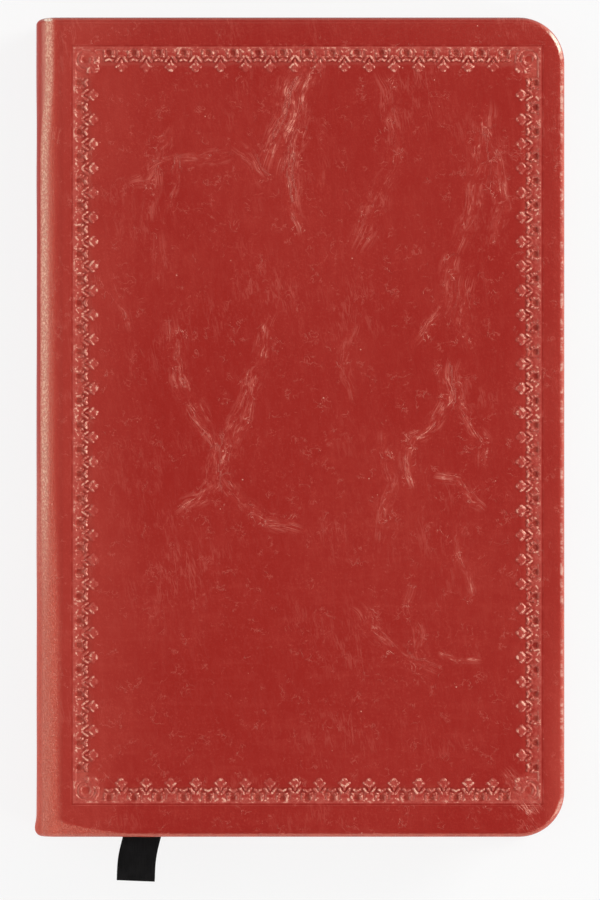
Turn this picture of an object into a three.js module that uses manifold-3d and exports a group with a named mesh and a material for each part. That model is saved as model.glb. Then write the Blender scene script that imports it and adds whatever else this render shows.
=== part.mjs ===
// A pocket journal in soft faux leather: a case of two boards and a flat spine, a block of sewn
// gatherings between them, a first gathering whose leaves turn one by one, and a ribbon marker.
// Millimetres. X runs from the spine to the fore edge, Y from the tail to the head, Z from the
// back cover to the front cover. The origin is the middle of the back cover's outer face.
import * as THREE from "three";
import { mergeVertices } from "three/addons/utils/BufferGeometryUtils.js";
import Module from "manifold-3d";

const wasm = await Module();
wasm.setup();

// The closed book
const coverWidth = 90;
const coverHeight = 140;
const blockThickness = 10.1;

// The covering leather
const leather = 0.7;
const cornerRadius = 7.8;
const outerEdgeRadius = 1.1;
const innerEdgeRadius = 0.6;
const turnIn = 0.2;
const turnInWidth = 12;
const shoulderRadius = 2.6;
const jointGroove = 0.25;

// Boards, spine strip and pasted sheets
const board = 1.75;
const boardSetback = 4.4;
const spineStrip = 0.4;
const pastedown = 0.15;
const pastedownMargin = 2.6;
const pastedownSlope = 0.6;
const mull = 0.2;
const mullFlapWidth = 15;
const mullMargin = 10;
const lining = 0.25;
const liningMargin = 3;

// The paper block
const square = 2.8;
const pageCornerRadius = 5;
const leafCount = 8;
const leaf = 0.1;
const flyleaf = 0.2;
const gatheringCount = 12;
const threadDiameter = 0.35;
const sewingStations = 4;
const sewingEndMargin = 14;
const stitchSway = 0.45;
const headbandWidth = 1.6;
const headbandHeight = 1.3;

// The ribbon marker
const ribbonWidth = 6.5;
const ribbon = 0.25;
const ribbonTail = 7.4;
const ribbonDroop = 2.2;
const ribbonTuck = 2.2;
const ribbonDrift = 11;

// The blind tooled frame on the front cover
const frameFromSpine = 6;
const frameFromFore = 3.9;
const frameFromHead = 5;
const frameFromTail = 5.7;
const frameWidth = 4.5;
const frameDepth = 0.25;
const ruleWidth = 0.45;
const ruleDepth = 0.12;
const motifPitch = 4.15;
const motifDrop = 0.04;
const cornerMotifScale = 1.38;

// Clearances
const glue = 0.05;
const sheetAir = 0.02;
const seamGap = 0.05;
const hollow = 0.2;
const ribbonRoom = 0.05;
const hingeRoom = 0.15;

// How finely the round shapes are cut
const cornerSteps = 8;
const edgeSteps = 3;
const foldSteps = 4;
const threadSides = 6;
const stitchSteps = 2;
const ribbonSteps = 72;
const nearlyUpright = 0.2;

// Levels through one cover, counted inwards from its outer face
const boardOuter = leather + glue;
const boardInner = boardOuter + board;
const turnInOuter = boardInner + glue;
const turnInInner = turnInOuter + turnIn;
const pastedownOuter = turnInInner + glue;
const coverStack = pastedownOuter + pastedown;

// Levels through the whole book
const thickness = blockThickness + 2 * coverStack;
const frontInner = thickness - coverStack;
const backInner = coverStack;

// Places across the book, from the spine to the fore edge
const spineOuter = -coverWidth / 2;
const spineInner = spineOuter + leather;
const stripOuter = spineInner + glue;
const stripInner = stripOuter + spineStrip;
const spineTurnInOuter = stripInner + glue;
const spineTurnInInner = spineTurnInOuter + turnIn;
const liningOuter = spineTurnInInner + hollow;
const mullOuter = liningOuter + lining + glue;
const threadOuter = mullOuter + mull + glue;
const foldEdge = threadOuter + threadDiameter + glue;
const boardSpineEdge = spineOuter + boardSetback;
const coverForeEdge = coverWidth / 2;
const pageForeEdge = coverForeEdge - square;

// Places along the book
const coverEnd = coverHeight / 2;
const pageEnd = coverEnd - square;

const leatherRed = 0xa82e2b;
const creamPaper = 0xf1e8d2;

function material(color, roughness) {
  return new THREE.MeshStandardMaterial({ color, roughness, metalness: 0 });
}

const leatherLook = material(leatherRed, 0.38);
const boardLook = material(0x9b9184, 0.9);
const paperLook = material(creamPaper, 0.85);
const clothLook = material(0xe9e4d6, 0.95);
const threadLook = material(0xf5f1e6, 0.8);
const ribbonLook = material(0x17151a, 0.55);

function piece(name, geometry, look) {
  const mesh = new THREE.Mesh(geometry, look);
  mesh.name = name;
  return mesh;
}

// A sheet's outline, square at the spine side and round at its two fore-edge corners
function sheetOutline(left, right, bottom, top, radius) {
  const points = [new THREE.Vector2(left, bottom)];
  const centres = [
    [bottom + radius, -Math.PI / 2],
    [top - radius, 0],
  ];
  for (const [centreY, startAngle] of centres) {
    for (let step = 0; step <= cornerSteps; step += 1) {
      const angle = startAngle + ((Math.PI / 2) * step) / cornerSteps;
      const x = right - radius + radius * Math.cos(angle);
      points.push(new THREE.Vector2(x, centreY + radius * Math.sin(angle)));
    }
  }
  points.push(new THREE.Vector2(left, top));
  return points;
}

function signedVolume(position, index) {
  const corner = index.map((i) => new THREE.Vector3().fromArray(position, 3 * i));
  let volume = 0;
  for (let i = 0; i < corner.length; i += 3) {
    volume += corner[i].dot(corner[i + 1].clone().cross(corner[i + 2])) / 6;
  }
  return volume;
}

// A closed solid through rings of equal point count, each an outline at its own height
function loft(rings) {
  const count = rings[0].outline.length;
  const last = (rings.length - 1) * count;
  const position = rings.flatMap((ring) => ring.outline.flatMap((p) => [p.x, p.y, ring.z]));
  const index = [];
  for (let base = 0; base < last; base += count) {
    for (let i = 0; i < count; i += 1) {
      const a = base + i;
      const b = base + ((i + 1) % count);
      index.push(a, b, b + count, a, b + count, a + count);
    }
  }
  for (const [a, b, c] of THREE.ShapeUtils.triangulateShape(rings[0].outline, [])) {
    index.push(c, b, a);
  }
  for (const [a, b, c] of THREE.ShapeUtils.triangulateShape(rings.at(-1).outline, [])) {
    index.push(last + a, last + b, last + c);
  }
  if (signedVolume(position, index) < 0) index.reverse();
  const geometry = new THREE.BufferGeometry();
  geometry.setAttribute("position", new THREE.Float32BufferAttribute(position, 3));
  geometry.setIndex(index);
  return geometry;
}

function slab(outline, from, to) {
  return loft([
    { outline, z: from },
    { outline, z: to },
  ]);
}

function box(x0, x1, y0, y1, z0, z1) {
  const geometry = new THREE.BoxGeometry(x1 - x0, y1 - y0, z1 - z0);
  return geometry.translate((x0 + x1) / 2, (y0 + y1) / 2, (z0 + z1) / 2);
}

function solid(geometry) {
  const bare = geometry.clone();
  bare.deleteAttribute("normal");
  bare.deleteAttribute("uv");
  const merged = mergeVertices(bare, 1e-4);
  const vertProperties = merged.attributes.position.array;
  const triVerts = new Uint32Array(merged.index.array);
  return new wasm.Manifold(new wasm.Mesh({ numProp: 3, vertProperties, triVerts }));
}

function geometryOf(manifold) {
  const mesh = manifold.getMesh();
  const geometry = new THREE.BufferGeometry();
  geometry.setAttribute("position", new THREE.BufferAttribute(mesh.vertProperties, 3));
  geometry.setIndex(new THREE.BufferAttribute(mesh.triVerts, 1));
  geometry.computeVertexNormals();
  return geometry;
}

// A cover's outline pulled in by a distance on its head, fore edge and tail
function coverOutline(inset, left = boardSpineEdge) {
  const end = coverEnd - inset;
  return sheetOutline(left, coverForeEdge - inset, -end, end, cornerRadius - inset);
}

// Each cover is described by its outer face and the direction that leads into the book
const front = { face: thickness, inward: -1 };
const back = { face: 0, inward: 1 };

function level(cover, depth) {
  return cover.face + cover.inward * depth;
}

// The leather wraps the board: an outer face with turned edges, walls round the board's
// head, fore edge and tail, and turn-ins that lie on the board's inner side.
function coverLeather(cover) {
  const rings = [];
  for (let step = 0; step <= edgeSteps; step += 1) {
    const angle = ((Math.PI / 2) * step) / edgeSteps;
    const inset = outerEdgeRadius * (1 - Math.sin(angle));
    const depth = outerEdgeRadius * (1 - Math.cos(angle));
    rings.push({ outline: coverOutline(inset), z: level(cover, depth) });
  }
  for (let step = 0; step <= edgeSteps; step += 1) {
    const angle = ((Math.PI / 2) * step) / edgeSteps;
    const inset = innerEdgeRadius * (1 - Math.cos(angle));
    const depth = turnInInner - innerEdgeRadius * (1 - Math.sin(angle));
    rings.push({ outline: coverOutline(inset), z: level(cover, depth) });
  }
  const wrap = solid(loft(rings));
  const open = boardSpineEdge - leather;
  const pocket = slab(coverOutline(leather, open), level(cover, leather), level(cover, turnInOuter));
  const windowEnd = coverEnd - turnInWidth;
  const windowFore = coverForeEdge - turnInWidth;
  const [low, high] = [level(cover, boardInner), level(cover, coverStack)].sort((a, b) => a - b);
  const window = box(open, windowFore, -windowEnd, windowEnd, low, high);
  return wrap.subtract(solid(pocket)).subtract(solid(window));
}

function frameBox(inset, depth) {
  return solid(
    box(
      spineOuter + frameFromSpine + inset,
      coverForeEdge - frameFromFore - inset,
      -coverEnd + frameFromTail + inset,
      coverEnd - frameFromHead - inset,
      thickness - depth,
      thickness + frameDepth,
    ),
  );
}

// The tooled frame is pressed in: a shallow outer rule, then a deeper band
function tooledFrame() {
  const rule = frameBox(0, ruleDepth).subtract(frameBox(ruleWidth, frameDepth));
  const band = frameBox(ruleWidth, frameDepth).subtract(frameBox(frameWidth, 2 * frameDepth));
  return rule.add(band);
}

// A palmette in the tooled band: petals that spring from the rule, draw in to a waist with two
// curled feet, and open into a fan. It is drawn on a grid of ninths of the band's width, with u
// along the band and v away from the rule.
function palmetteOutline() {
  const grid = frameWidth / 9;
  const half = [
    [0, 0.9],
    [1.7, 0.9],
    [0.5, 3.4],
    [1.9, 5.4],
    [0.6, 5.4],
    [2.3, 7.7],
    [1.3, 8.7],
    [0, 8.8],
  ];
  const mirrored = half.slice(1, -1).reverse();
  const right = half.map(([u, v]) => new THREE.Vector2(u * grid, v * grid));
  return right.concat(mirrored.map(([u, v]) => new THREE.Vector2(-u * grid, v * grid)));
}

// A raised palmette stands on the band's floor at a place on the rule, turned by an angle
function palmette(x, y, angle, scale) {
  const place = (p) => p.clone().multiplyScalar(scale).rotateAround(new THREE.Vector2(), angle);
  const outline = palmetteOutline().map((p) => place(p).add(new THREE.Vector2(x, y)));
  return solid(slab(outline, thickness - 2 * frameDepth, thickness - motifDrop));
}

// Palmettes follow each side of the frame at an even pitch, and a larger one fills each corner
function tooledMotifs() {
  const left = spineOuter + frameFromSpine;
  const right = coverForeEdge - frameFromFore;
  const bottom = -coverEnd + frameFromTail;
  const top = coverEnd - frameFromHead;
  const corners = [
    [left, bottom],
    [right, bottom],
    [right, top],
    [left, top],
  ];
  const motifs = [];
  corners.forEach(([x, y], side) => {
    const angle = (side * Math.PI) / 2;
    const run = side % 2 === 0 ? right - left : top - bottom;
    const free = run - 2 * frameWidth;
    const count = Math.max(1, Math.round(free / motifPitch));
    for (let i = 0; i < count; i += 1) {
      const along = frameWidth + ((i + 0.5) * free) / count;
      const place = [x + along * Math.cos(angle), y + along * Math.sin(angle)];
      motifs.push(palmette(...place, angle, 1));
    }
    motifs.push(palmette(x, y, angle - Math.PI / 4, cornerMotifScale));
  });
  return motifs.reduce((joined, motif) => joined.add(motif));
}

// A board fills the leather round it, glue apart
function coverBoard(cover) {
  const outline = coverOutline(boardOuter);
  return slab(outline, level(cover, boardOuter), level(cover, boardInner));
}

// The strip of mull that reaches from the spine onto the board, under the pastedown
function mullFlap(cover) {
  const end = coverEnd - turnInWidth - glue;
  const right = boardSpineEdge + mullFlapWidth;
  const [low, high] = [level(cover, turnInOuter), level(cover, turnInInner)].sort((a, b) => a - b);
  return box(boardSpineEdge, right, -end, end, low, high);
}

// The pastedown lies over the turn-ins and the mull, and dips to the board between them
function coverPastedown(cover) {
  const outer = coverOutline(pastedownMargin);
  const dipLeft = boardSpineEdge + mullFlapWidth + glue;
  const dip = (inset) => {
    const end = coverEnd - turnInWidth - inset;
    const right = coverForeEdge - turnInWidth - inset;
    return sheetOutline(dipLeft + inset, right, -end, end, pastedownSlope);
  };
  const rings = [
    { outline: dip(glue + pastedownSlope), z: level(cover, turnInOuter) },
    { outline: dip(glue), z: level(cover, pastedownOuter) },
    { outline: outer, z: level(cover, pastedownOuter) },
    { outline: outer, z: level(cover, coverStack) },
    { outline: dip(glue + pastedown), z: level(cover, coverStack) },
    { outline: dip(glue + pastedown + pastedownSlope), z: level(cover, turnInOuter + pastedown) },
  ];
  return loft(rings);
}

// A profile drawn in X and Z, run along the book from tail to head
function alongBook(shape, end, curveSegments) {
  const geometry = new THREE.ExtrudeGeometry(shape, {
    depth: 2 * end,
    bevelEnabled: false,
    curveSegments,
  });
  return geometry.rotateX(Math.PI / 2).translate(0, end, 0);
}

const spineTop = frontInner - hingeRoom;
const spineBottom = backInner + hingeRoom;

// The leather over the spine, turned in round the strip at head and tail
function spineLeather() {
  const shape = new THREE.Shape();
  shape.moveTo(spineOuter + leather, -coverEnd);
  shape.lineTo(spineTurnInInner, -coverEnd);
  shape.lineTo(spineTurnInInner, -coverEnd + turnInWidth);
  shape.lineTo(spineTurnInOuter, -coverEnd + turnInWidth);
  shape.lineTo(spineTurnInOuter, -coverEnd + leather);
  shape.lineTo(spineInner, -coverEnd + leather);
  shape.lineTo(spineInner, coverEnd - leather);
  shape.lineTo(spineTurnInOuter, coverEnd - leather);
  shape.lineTo(spineTurnInOuter, coverEnd - turnInWidth);
  shape.lineTo(spineTurnInInner, coverEnd - turnInWidth);
  shape.lineTo(spineTurnInInner, coverEnd);
  shape.lineTo(spineOuter + leather, coverEnd);
  shape.absarc(spineOuter + leather, coverEnd - leather, leather, Math.PI / 2, Math.PI, false);
  shape.lineTo(spineOuter, -coverEnd + leather);
  shape.absarc(spineOuter + leather, -coverEnd + leather, leather, Math.PI, 1.5 * Math.PI, false);
  const geometry = new THREE.ExtrudeGeometry(shape, {
    depth: spineTop - spineBottom,
    bevelEnabled: false,
    curveSegments: edgeSteps,
  });
  return geometry.translate(0, 0, spineBottom);
}

// The soft leather of one joint: from the board's edge over the shoulder to the spine
function jointLeather(cover) {
  const outer = shoulderRadius;
  const inner = shoulderRadius - leather;
  const edge = boardSpineEdge - seamGap;
  const end = (cover === front ? spineTop : spineBottom) - cover.inward * seamGap;
  const centreX = spineOuter + shoulderRadius;
  const centreZ = level(cover, shoulderRadius);
  const up = -cover.inward;
  const quarter = (Math.PI / 2) * up;
  const shape = new THREE.Shape();
  const middle = (edge + centreX) / 2;
  const dip = 2 * jointGroove;
  shape.moveTo(edge, level(cover, 0));
  shape.quadraticCurveTo(middle, level(cover, dip), centreX, level(cover, 0));
  shape.absarc(centreX, centreZ, outer, quarter, up * Math.PI, up < 0);
  shape.lineTo(spineOuter, end);
  shape.lineTo(spineInner, end);
  shape.lineTo(spineInner, centreZ);
  shape.absarc(centreX, centreZ, inner, up * Math.PI, quarter, up > 0);
  shape.quadraticCurveTo(middle, level(cover, leather + dip), edge, level(cover, leather));
  return alongBook(shape, coverEnd, 2 * edgeSteps);
}

function pageOutline(left) {
  return sheetOutline(left, pageForeEdge, -pageEnd, pageEnd, pageCornerRadius);
}

// The stack, from the front cover down to the first sewn gathering
const flyleafTop = frontInner - sheetAir;
const flyleafBottom = flyleafTop - flyleaf;
const leafPitch = leaf + sheetAir;
const leavesBottom = flyleafBottom - leafCount * leafPitch;
const blockTop = leavesBottom - ribbon - 2 * ribbonRoom;

// The stack, from the back cover up
const backFlyleafBottom = backInner + sheetAir;
const backFlyleafTop = backFlyleafBottom + flyleaf;
const blockBottom = backFlyleafTop + sheetAir;
const gatheringPitch = (blockTop - blockBottom) / gatheringCount;

// A gathering of nested folded sheets: round at the fold, trimmed flat on its other edges
function gathering(bottom) {
  const height = gatheringPitch - sheetAir;
  const radius = height / 2;
  const rings = [];
  for (let step = 0; step <= foldSteps; step += 1) {
    const angle = -Math.PI / 2 + (Math.PI * step) / foldSteps;
    const left = foldEdge + radius * (1 - Math.cos(angle));
    rings.push({ outline: pageOutline(left), z: bottom + radius * (1 + Math.sin(angle)) });
  }
  return loft(rings);
}

// One row of link stitches: a thread that climbs from fold to fold, swaying from side to side
function stitchRow(y) {
  const points = [];
  for (let i = 0; i < gatheringCount; i += 1) {
    const z = blockBottom + (i + 0.5) * gatheringPitch;
    const sway = i % 2 === 0 ? -stitchSway : stitchSway;
    points.push(new THREE.Vector3(threadOuter + threadDiameter / 2, y + sway, z));
  }
  const section = new THREE.Shape().absarc(0, 0, threadDiameter / 2, 0, 2 * Math.PI);
  return new THREE.ExtrudeGeometry(section, {
    steps: stitchSteps * gatheringCount,
    curveSegments: threadSides,
    extrudePath: new THREE.CatmullRomCurve3(points),
  });
}

// A rolled band that stands on the block's end, behind the folds
function headband(side) {
  const foot = side * (pageEnd + glue);
  const crown = headbandHeight - headbandWidth / 2;
  const left = mullOuter;
  const right = left + headbandWidth;
  const middle = (left + right) / 2;
  const shape = new THREE.Shape();
  shape.moveTo(left, foot);
  shape.lineTo(right, foot);
  shape.lineTo(right, foot + side * crown);
  shape.absarc(middle, foot + side * crown, headbandWidth / 2, 0, side * Math.PI, side < 0);
  const bottom = backFlyleafTop;
  const geometry = new THREE.ExtrudeGeometry(shape, {
    depth: flyleafBottom - bottom,
    bevelEnabled: false,
    curveSegments: 2 * edgeSteps,
  });
  return geometry.translate(0, 0, bottom);
}

// The ribbon's middle line: tucked over the head of the block, down the page in a slow
// curve, out at the tail and a little downwards
function ribbonPath() {
  const flat = blockTop + ribbonRoom + ribbon / 2;
  const headX = mullOuter + headbandWidth + glue + ribbonWidth / 2;
  const over = pageEnd + 2 * ribbon;
  return new THREE.CatmullRomCurve3(
    [
      new THREE.Vector3(headX, over, flat - ribbonTuck),
      new THREE.Vector3(headX, over, flat - ribbonTuck / 2),
      new THREE.Vector3(headX, over - ribbon / 3, flat - ribbon / 3),
      new THREE.Vector3(headX, pageEnd, flat),
      new THREE.Vector3(headX + 0.04 * ribbonDrift, 0.91 * pageEnd, flat),
      new THREE.Vector3(headX + 0.3 * ribbonDrift, 0.52 * pageEnd, flat),
      new THREE.Vector3(headX + 0.78 * ribbonDrift, 0, flat),
      new THREE.Vector3(headX + 0.96 * ribbonDrift, -0.52 * pageEnd, flat),
      new THREE.Vector3(headX + 1.03 * ribbonDrift, -0.88 * pageEnd, flat),
      new THREE.Vector3(headX + 1.03 * ribbonDrift, -pageEnd, flat),
      new THREE.Vector3(headX + ribbonDrift, -coverEnd, flat - ribbonDroop / 8),
      new THREE.Vector3(headX + 0.9 * ribbonDrift, -coverEnd - ribbonTail, flat - ribbonDroop),
    ],
    false,
    "centripetal",
  );
}

// A flat woven strip: four corners carried along the path, its width kept level
function ribbonMarker() {
  const path = ribbonPath();
  const position = [];
  const index = [];
  for (let step = 0; step <= ribbonSteps; step += 1) {
    const at = path.getPointAt(step / ribbonSteps);
    const along = path.getTangentAt(step / ribbonSteps);
    const across = new THREE.Vector3(-along.y, along.x, 0);
    if (Math.hypot(along.x, along.y) < nearlyUpright) across.set(1, 0, 0);
    across.normalize().multiplyScalar(ribbonWidth / 2);
    if (across.x < 0) across.negate();
    const out = along.clone().cross(across).normalize().multiplyScalar(ribbon / 2);
    for (const [side, face] of [[-1, -1], [1, -1], [1, 1], [-1, 1]]) {
      const corner = at.clone().addScaledVector(across, side).addScaledVector(out, face);
      position.push(corner.x, corner.y, corner.z);
    }
    if (step === 0) continue;
    const base = 4 * (step - 1);
    for (let i = 0; i < 4; i += 1) {
      const next = (i + 1) % 4;
      index.push(base + i, base + next, base + 4 + next, base + i, base + 4 + next, base + 4 + i);
    }
  }
  const end = 4 * ribbonSteps;
  index.push(2, 1, 0, 3, 2, 0, end, end + 1, end + 2, end, end + 2, end + 3);
  if (signedVolume(position, index) < 0) index.reverse();
  const geometry = new THREE.BufferGeometry();
  geometry.setAttribute("position", new THREE.Float32BufferAttribute(position, 3));
  geometry.setIndex(index);
  return geometry;
}

function coverGroup(name, cover, covering) {
  const group = new THREE.Group();
  group.add(piece(name + "_leather", geometryOf(covering), leatherLook));
  group.add(piece(name + "_board", coverBoard(cover), boardLook));
  group.add(piece(name + "_mull_flap", mullFlap(cover), clothLook));
  group.add(piece(name + "_pastedown", coverPastedown(cover), paperLook));
  return group;
}

function spineGroup() {
  const group = new THREE.Group();
  const stripEnd = coverEnd - leather - glue;
  const mullEnd = pageEnd - mullMargin;
  const liningEnd = pageEnd - liningMargin;
  group.add(piece("spine_leather", spineLeather(), leatherLook));
  group.add(piece("front_joint_leather", jointLeather(front), leatherLook));
  group.add(piece("back_joint_leather", jointLeather(back), leatherLook));
  const strip = box(stripOuter, stripInner, -stripEnd, stripEnd, spineBottom, spineTop);
  group.add(piece("spine_strip", strip, boardLook));
  const liningRight = liningOuter + lining;
  const liner = box(liningOuter, liningRight, -liningEnd, liningEnd, blockBottom, blockTop);
  group.add(piece("spine_lining", liner, paperLook));
  const cloth = box(mullOuter, mullOuter + mull, -mullEnd, mullEnd, blockBottom, blockTop);
  group.add(piece("mull", cloth, clothLook));
  return group;
}

function blockGroup() {
  const group = new THREE.Group();
  for (let i = 0; i < gatheringCount; i += 1) {
    const name = "gathering_" + String(i + 1).padStart(2, "0");
    group.add(piece(name, gathering(blockBottom + i * gatheringPitch), paperLook));
  }
  const reach = pageEnd - sewingEndMargin;
  for (let i = 0; i < sewingStations; i += 1) {
    const y = -reach + (2 * reach * i) / (sewingStations - 1);
    group.add(piece("stitch_row_" + (i + 1), stitchRow(y), threadLook));
  }
  group.add(piece("headband", headband(1), clothLook));
  group.add(piece("tailband", headband(-1), clothLook));
  group.add(piece("ribbon_marker", ribbonMarker(), ribbonLook));
  return group;
}

function leavesGroup() {
  const group = new THREE.Group();
  const outline = pageOutline(foldEdge);
  group.add(piece("front_flyleaf", slab(outline, flyleafBottom, flyleafTop), paperLook));
  for (let i = 0; i < leafCount; i += 1) {
    const top = flyleafBottom - sheetAir - i * leafPitch;
    group.add(piece("leaf_" + (i + 1), slab(outline, top - leaf, top), paperLook));
  }
  group.add(piece("back_flyleaf", slab(outline, backFlyleafBottom, backFlyleafTop), paperLook));
  return group;
}

const journal = new THREE.Group();
const frontLeather = coverLeather(front).subtract(tooledFrame()).add(tooledMotifs());
journal.add(coverGroup("front", front, frontLeather));
journal.add(coverGroup("back", back, coverLeather(back)));
journal.add(spineGroup());
journal.add(blockGroup());
journal.add(leavesGroup());

export default journal;
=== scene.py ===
"""A leather-look pocket journal with a tooled border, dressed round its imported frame.

Metres. X runs from the spine to the fore edge, Y from the tail to the head and Z from the
back cover to the front cover.
"""
import contextlib
import functools
import math

import bmesh
import bpy
import numpy as np
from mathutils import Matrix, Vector


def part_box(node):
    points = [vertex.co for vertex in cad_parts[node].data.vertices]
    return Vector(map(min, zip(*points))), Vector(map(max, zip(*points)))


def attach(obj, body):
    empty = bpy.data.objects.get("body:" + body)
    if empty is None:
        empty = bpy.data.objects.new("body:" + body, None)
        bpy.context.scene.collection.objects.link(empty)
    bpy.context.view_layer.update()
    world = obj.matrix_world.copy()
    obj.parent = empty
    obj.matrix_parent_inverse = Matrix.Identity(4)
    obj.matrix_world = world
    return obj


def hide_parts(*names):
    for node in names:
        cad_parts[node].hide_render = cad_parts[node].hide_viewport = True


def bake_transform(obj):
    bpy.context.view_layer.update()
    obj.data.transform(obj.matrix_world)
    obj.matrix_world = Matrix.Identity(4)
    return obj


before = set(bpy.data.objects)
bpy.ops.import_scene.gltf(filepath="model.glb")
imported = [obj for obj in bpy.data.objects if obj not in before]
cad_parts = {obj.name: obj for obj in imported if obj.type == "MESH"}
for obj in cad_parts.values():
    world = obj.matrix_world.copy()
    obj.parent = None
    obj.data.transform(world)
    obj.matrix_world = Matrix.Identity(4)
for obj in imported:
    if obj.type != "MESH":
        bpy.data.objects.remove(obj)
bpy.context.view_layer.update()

bl_info = {
    "name": "Tooled Pocket Journal",
    "version": (1, 0, 0),
    "blender": (4, 5, 0),
    "location": "3D View > Sidebar > Journal",
    "description": "Models the leather, paper and ribbon of a journal round its frame",
    "category": "Object",
}

MM = 0.001

# The covers, the spine and the pages, as the frame places them
FRONT_LOW, FRONT_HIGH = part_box("front_leather")
BACK_LOW, BACK_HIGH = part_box("back_leather")
SPINE_LOW, SPINE_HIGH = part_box("spine_leather")
PAGE_LOW, PAGE_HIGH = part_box("gathering_01")
BOARD_EDGE = FRONT_LOW.x
FORE_EDGE = FRONT_HIGH.x
COVER_END = FRONT_HIGH.y
THICKNESS = FRONT_HIGH.z
SPINE_OUTER = SPINE_LOW.x


def colour_setting(name, description, default):
    return bpy.props.FloatVectorProperty(
        name=name, description=description, subtype="COLOR", size=3, min=0, max=1,
        default=default)


def length_setting(name, description, millimetres):
    return bpy.props.FloatProperty(
        name=name, description=description, subtype="DISTANCE", default=millimetres * MM)


class LeatherSettings(bpy.types.PropertyGroup):
    """The covering leather's colours, finish and turned edges"""

    colour: colour_setting(
        "Leather", "Colour of the leather's flat face", (0.362, 0.0163, 0.0127))
    # Light Dye is also the colour of the painted sheen beside the spine and along the fore edge
    light: colour_setting(
        "Light Dye", "Colour where the dye has taken less", (0.47, 0.047, 0.034))
    # Rubbed is also the colour of the painted highlights on the tooling
    rubbed: colour_setting(
        "Rubbed", "Colour where the finish is stretched or rubbed", (0.60, 0.112, 0.086))
    # Pressed is the colour of the painted shade in the tooling and along the head's rim
    pressed: colour_setting(
        "Pressed", "Colour at the bottom of the tooled pits", (0.21, 0.007, 0.006))
    crease: colour_setting("Crease", "Colour of the fine creases", (0.66, 0.145, 0.108))
    roughness: bpy.props.FloatProperty(
        name="Roughness", description="Roughness of the glossy face",
        min=0, max=1, default=0.24)
    wall: length_setting("Thickness", "Thickness of the leather", 0.7)
    corner: length_setting("Corner", "Radius of the covers' fore-edge corners", 7.8)
    outer_edge: length_setting(
        "Outer Edge", "Radius of the turned edge on the outer face", 1.1)
    inner_edge: length_setting(
        "Inner Edge", "Radius of the turned edge on the inner face", 0.6)
    turn_in: length_setting(
        "Turn-in", "Width of the leather turned in over the boards", 12)
    shoulder: length_setting(
        "Shoulder", "Width over which the leather turns to the spine", 4.0)
    swell: length_setting(
        "Spine Swell", "How far the leather stands out over the spine", 0.2)
    groove: length_setting(
        "Joint Groove", "Depth of the soft groove along the joint", 0.12)
    head_cap: length_setting("Head Cap", "Radius of the spine's corner at the head", 1.0)
    tail_cap: length_setting("Tail Cap", "Radius of the spine's corner at the tail", 0.3)


class BorderSettings(bpy.types.PropertyGroup):
    """The blind tooled border"""

    from_spine: length_setting("From Spine", "Gap from the spine to the border", 6)
    from_fore: length_setting("From Fore Edge", "Gap from the fore edge to the border", 3.9)
    from_head: length_setting("From Head", "Gap from the head to the border", 5)
    from_tail: length_setting("From Tail", "Gap from the tail to the border", 5.7)
    pitch: length_setting("Pitch", "Distance from one palmette to the next", 4.15)
    depth: length_setting("Depth", "How deep the ground of the border is pressed", 0.22)
    spacing: length_setting(
        "Spacing", "Size of the cells that hold the border's relief", 0.105)


class PaperSettings(bpy.types.PropertyGroup):
    """The pages and endpapers"""

    page: colour_setting("Page", "Colour of the pages", (0.84, 0.77, 0.63))
    endpaper: colour_setting("Endpaper", "Colour of the endpapers", (0.80, 0.72, 0.57))
    rule: colour_setting("Ruling", "Colour of the ruled lines", (0.42, 0.43, 0.44))
    rule_pitch: length_setting("Ruling Pitch", "Distance between the ruled lines", 6.4)
    corner: length_setting("Page Corner", "Radius of the pages' corners", 5)
    bend: length_setting(
        "Bend", "Width beside the spine over which a leaf bends as it turns", 7)
    fibre: length_setting("Sheet", "Thickness of one sheet of a gathering", 0.056)


class StudioSettings(bpy.types.PropertyGroup):
    """The camera, and the light from all round"""

    lens: bpy.props.FloatProperty(
        name="Lens", description="Focal length of the camera", unit="CAMERA", default=350)
    view_height: length_setting(
        "Framed Height", "Height framed at the level of the front cover", 153.66)
    view_centre: bpy.props.FloatVectorProperty(
        name="Framed Centre", description="What the camera looks down on",
        subtype="XYZ", unit="LENGTH", size=2, default=(-0.17 * MM, -3.9 * MM))
    backdrop: colour_setting("Backdrop", "Colour of the pale surroundings", (1.0, 1.0, 1.0))
    overhead: colour_setting(
        "Overhead", "Colour of the dark space over the cover", (0.03, 0.03, 0.03))
    fill: bpy.props.FloatProperty(
        name="Fill", description="Level of the even light from all round",
        min=0, default=0.35)


def leather():
    return bpy.context.scene.journal_leather


def border():
    return bpy.context.scene.journal_border


def paper():
    return bpy.context.scene.journal_paper


# Modelling helpers

def deselect():
    bpy.ops.object.select_all(action="DESELECT")


def only(obj):
    deselect()
    obj.select_set(True)
    bpy.context.view_layer.objects.active = obj


def settle(name):
    """Names the primitive that was just added and moves its place into its mesh."""
    obj = bpy.context.object
    obj.name = name
    obj.data.name = name
    only(obj)
    bpy.ops.object.transform_apply(location=True, rotation=True, scale=True)
    return obj


def add_box(name, low, high):
    deselect()
    low, high = Vector(low), Vector(high)
    bpy.ops.mesh.primitive_cube_add(size=1, location=(low + high) / 2, scale=high - low)
    return settle(name)


def add_grid(name, low, high, level, spacing):
    """A level grid of nearly square cells between two corners."""
    deselect()
    width, height = high[0] - low[0], high[1] - low[1]
    bpy.ops.mesh.primitive_grid_add(
        x_subdivisions=max(1, round(width / spacing)),
        y_subdivisions=max(1, round(height / spacing)), size=1,
        location=((low[0] + high[0]) / 2, (low[1] + high[1]) / 2, level))
    bpy.context.object.scale = (width, height, 1)
    return settle(name)


@contextlib.contextmanager
def editing(obj):
    only(obj)
    bpy.ops.object.mode_set(mode="EDIT")
    bpy.ops.mesh.select_all(action="DESELECT")
    try:
        yield
    finally:
        bpy.ops.object.mode_set(mode="OBJECT")


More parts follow.
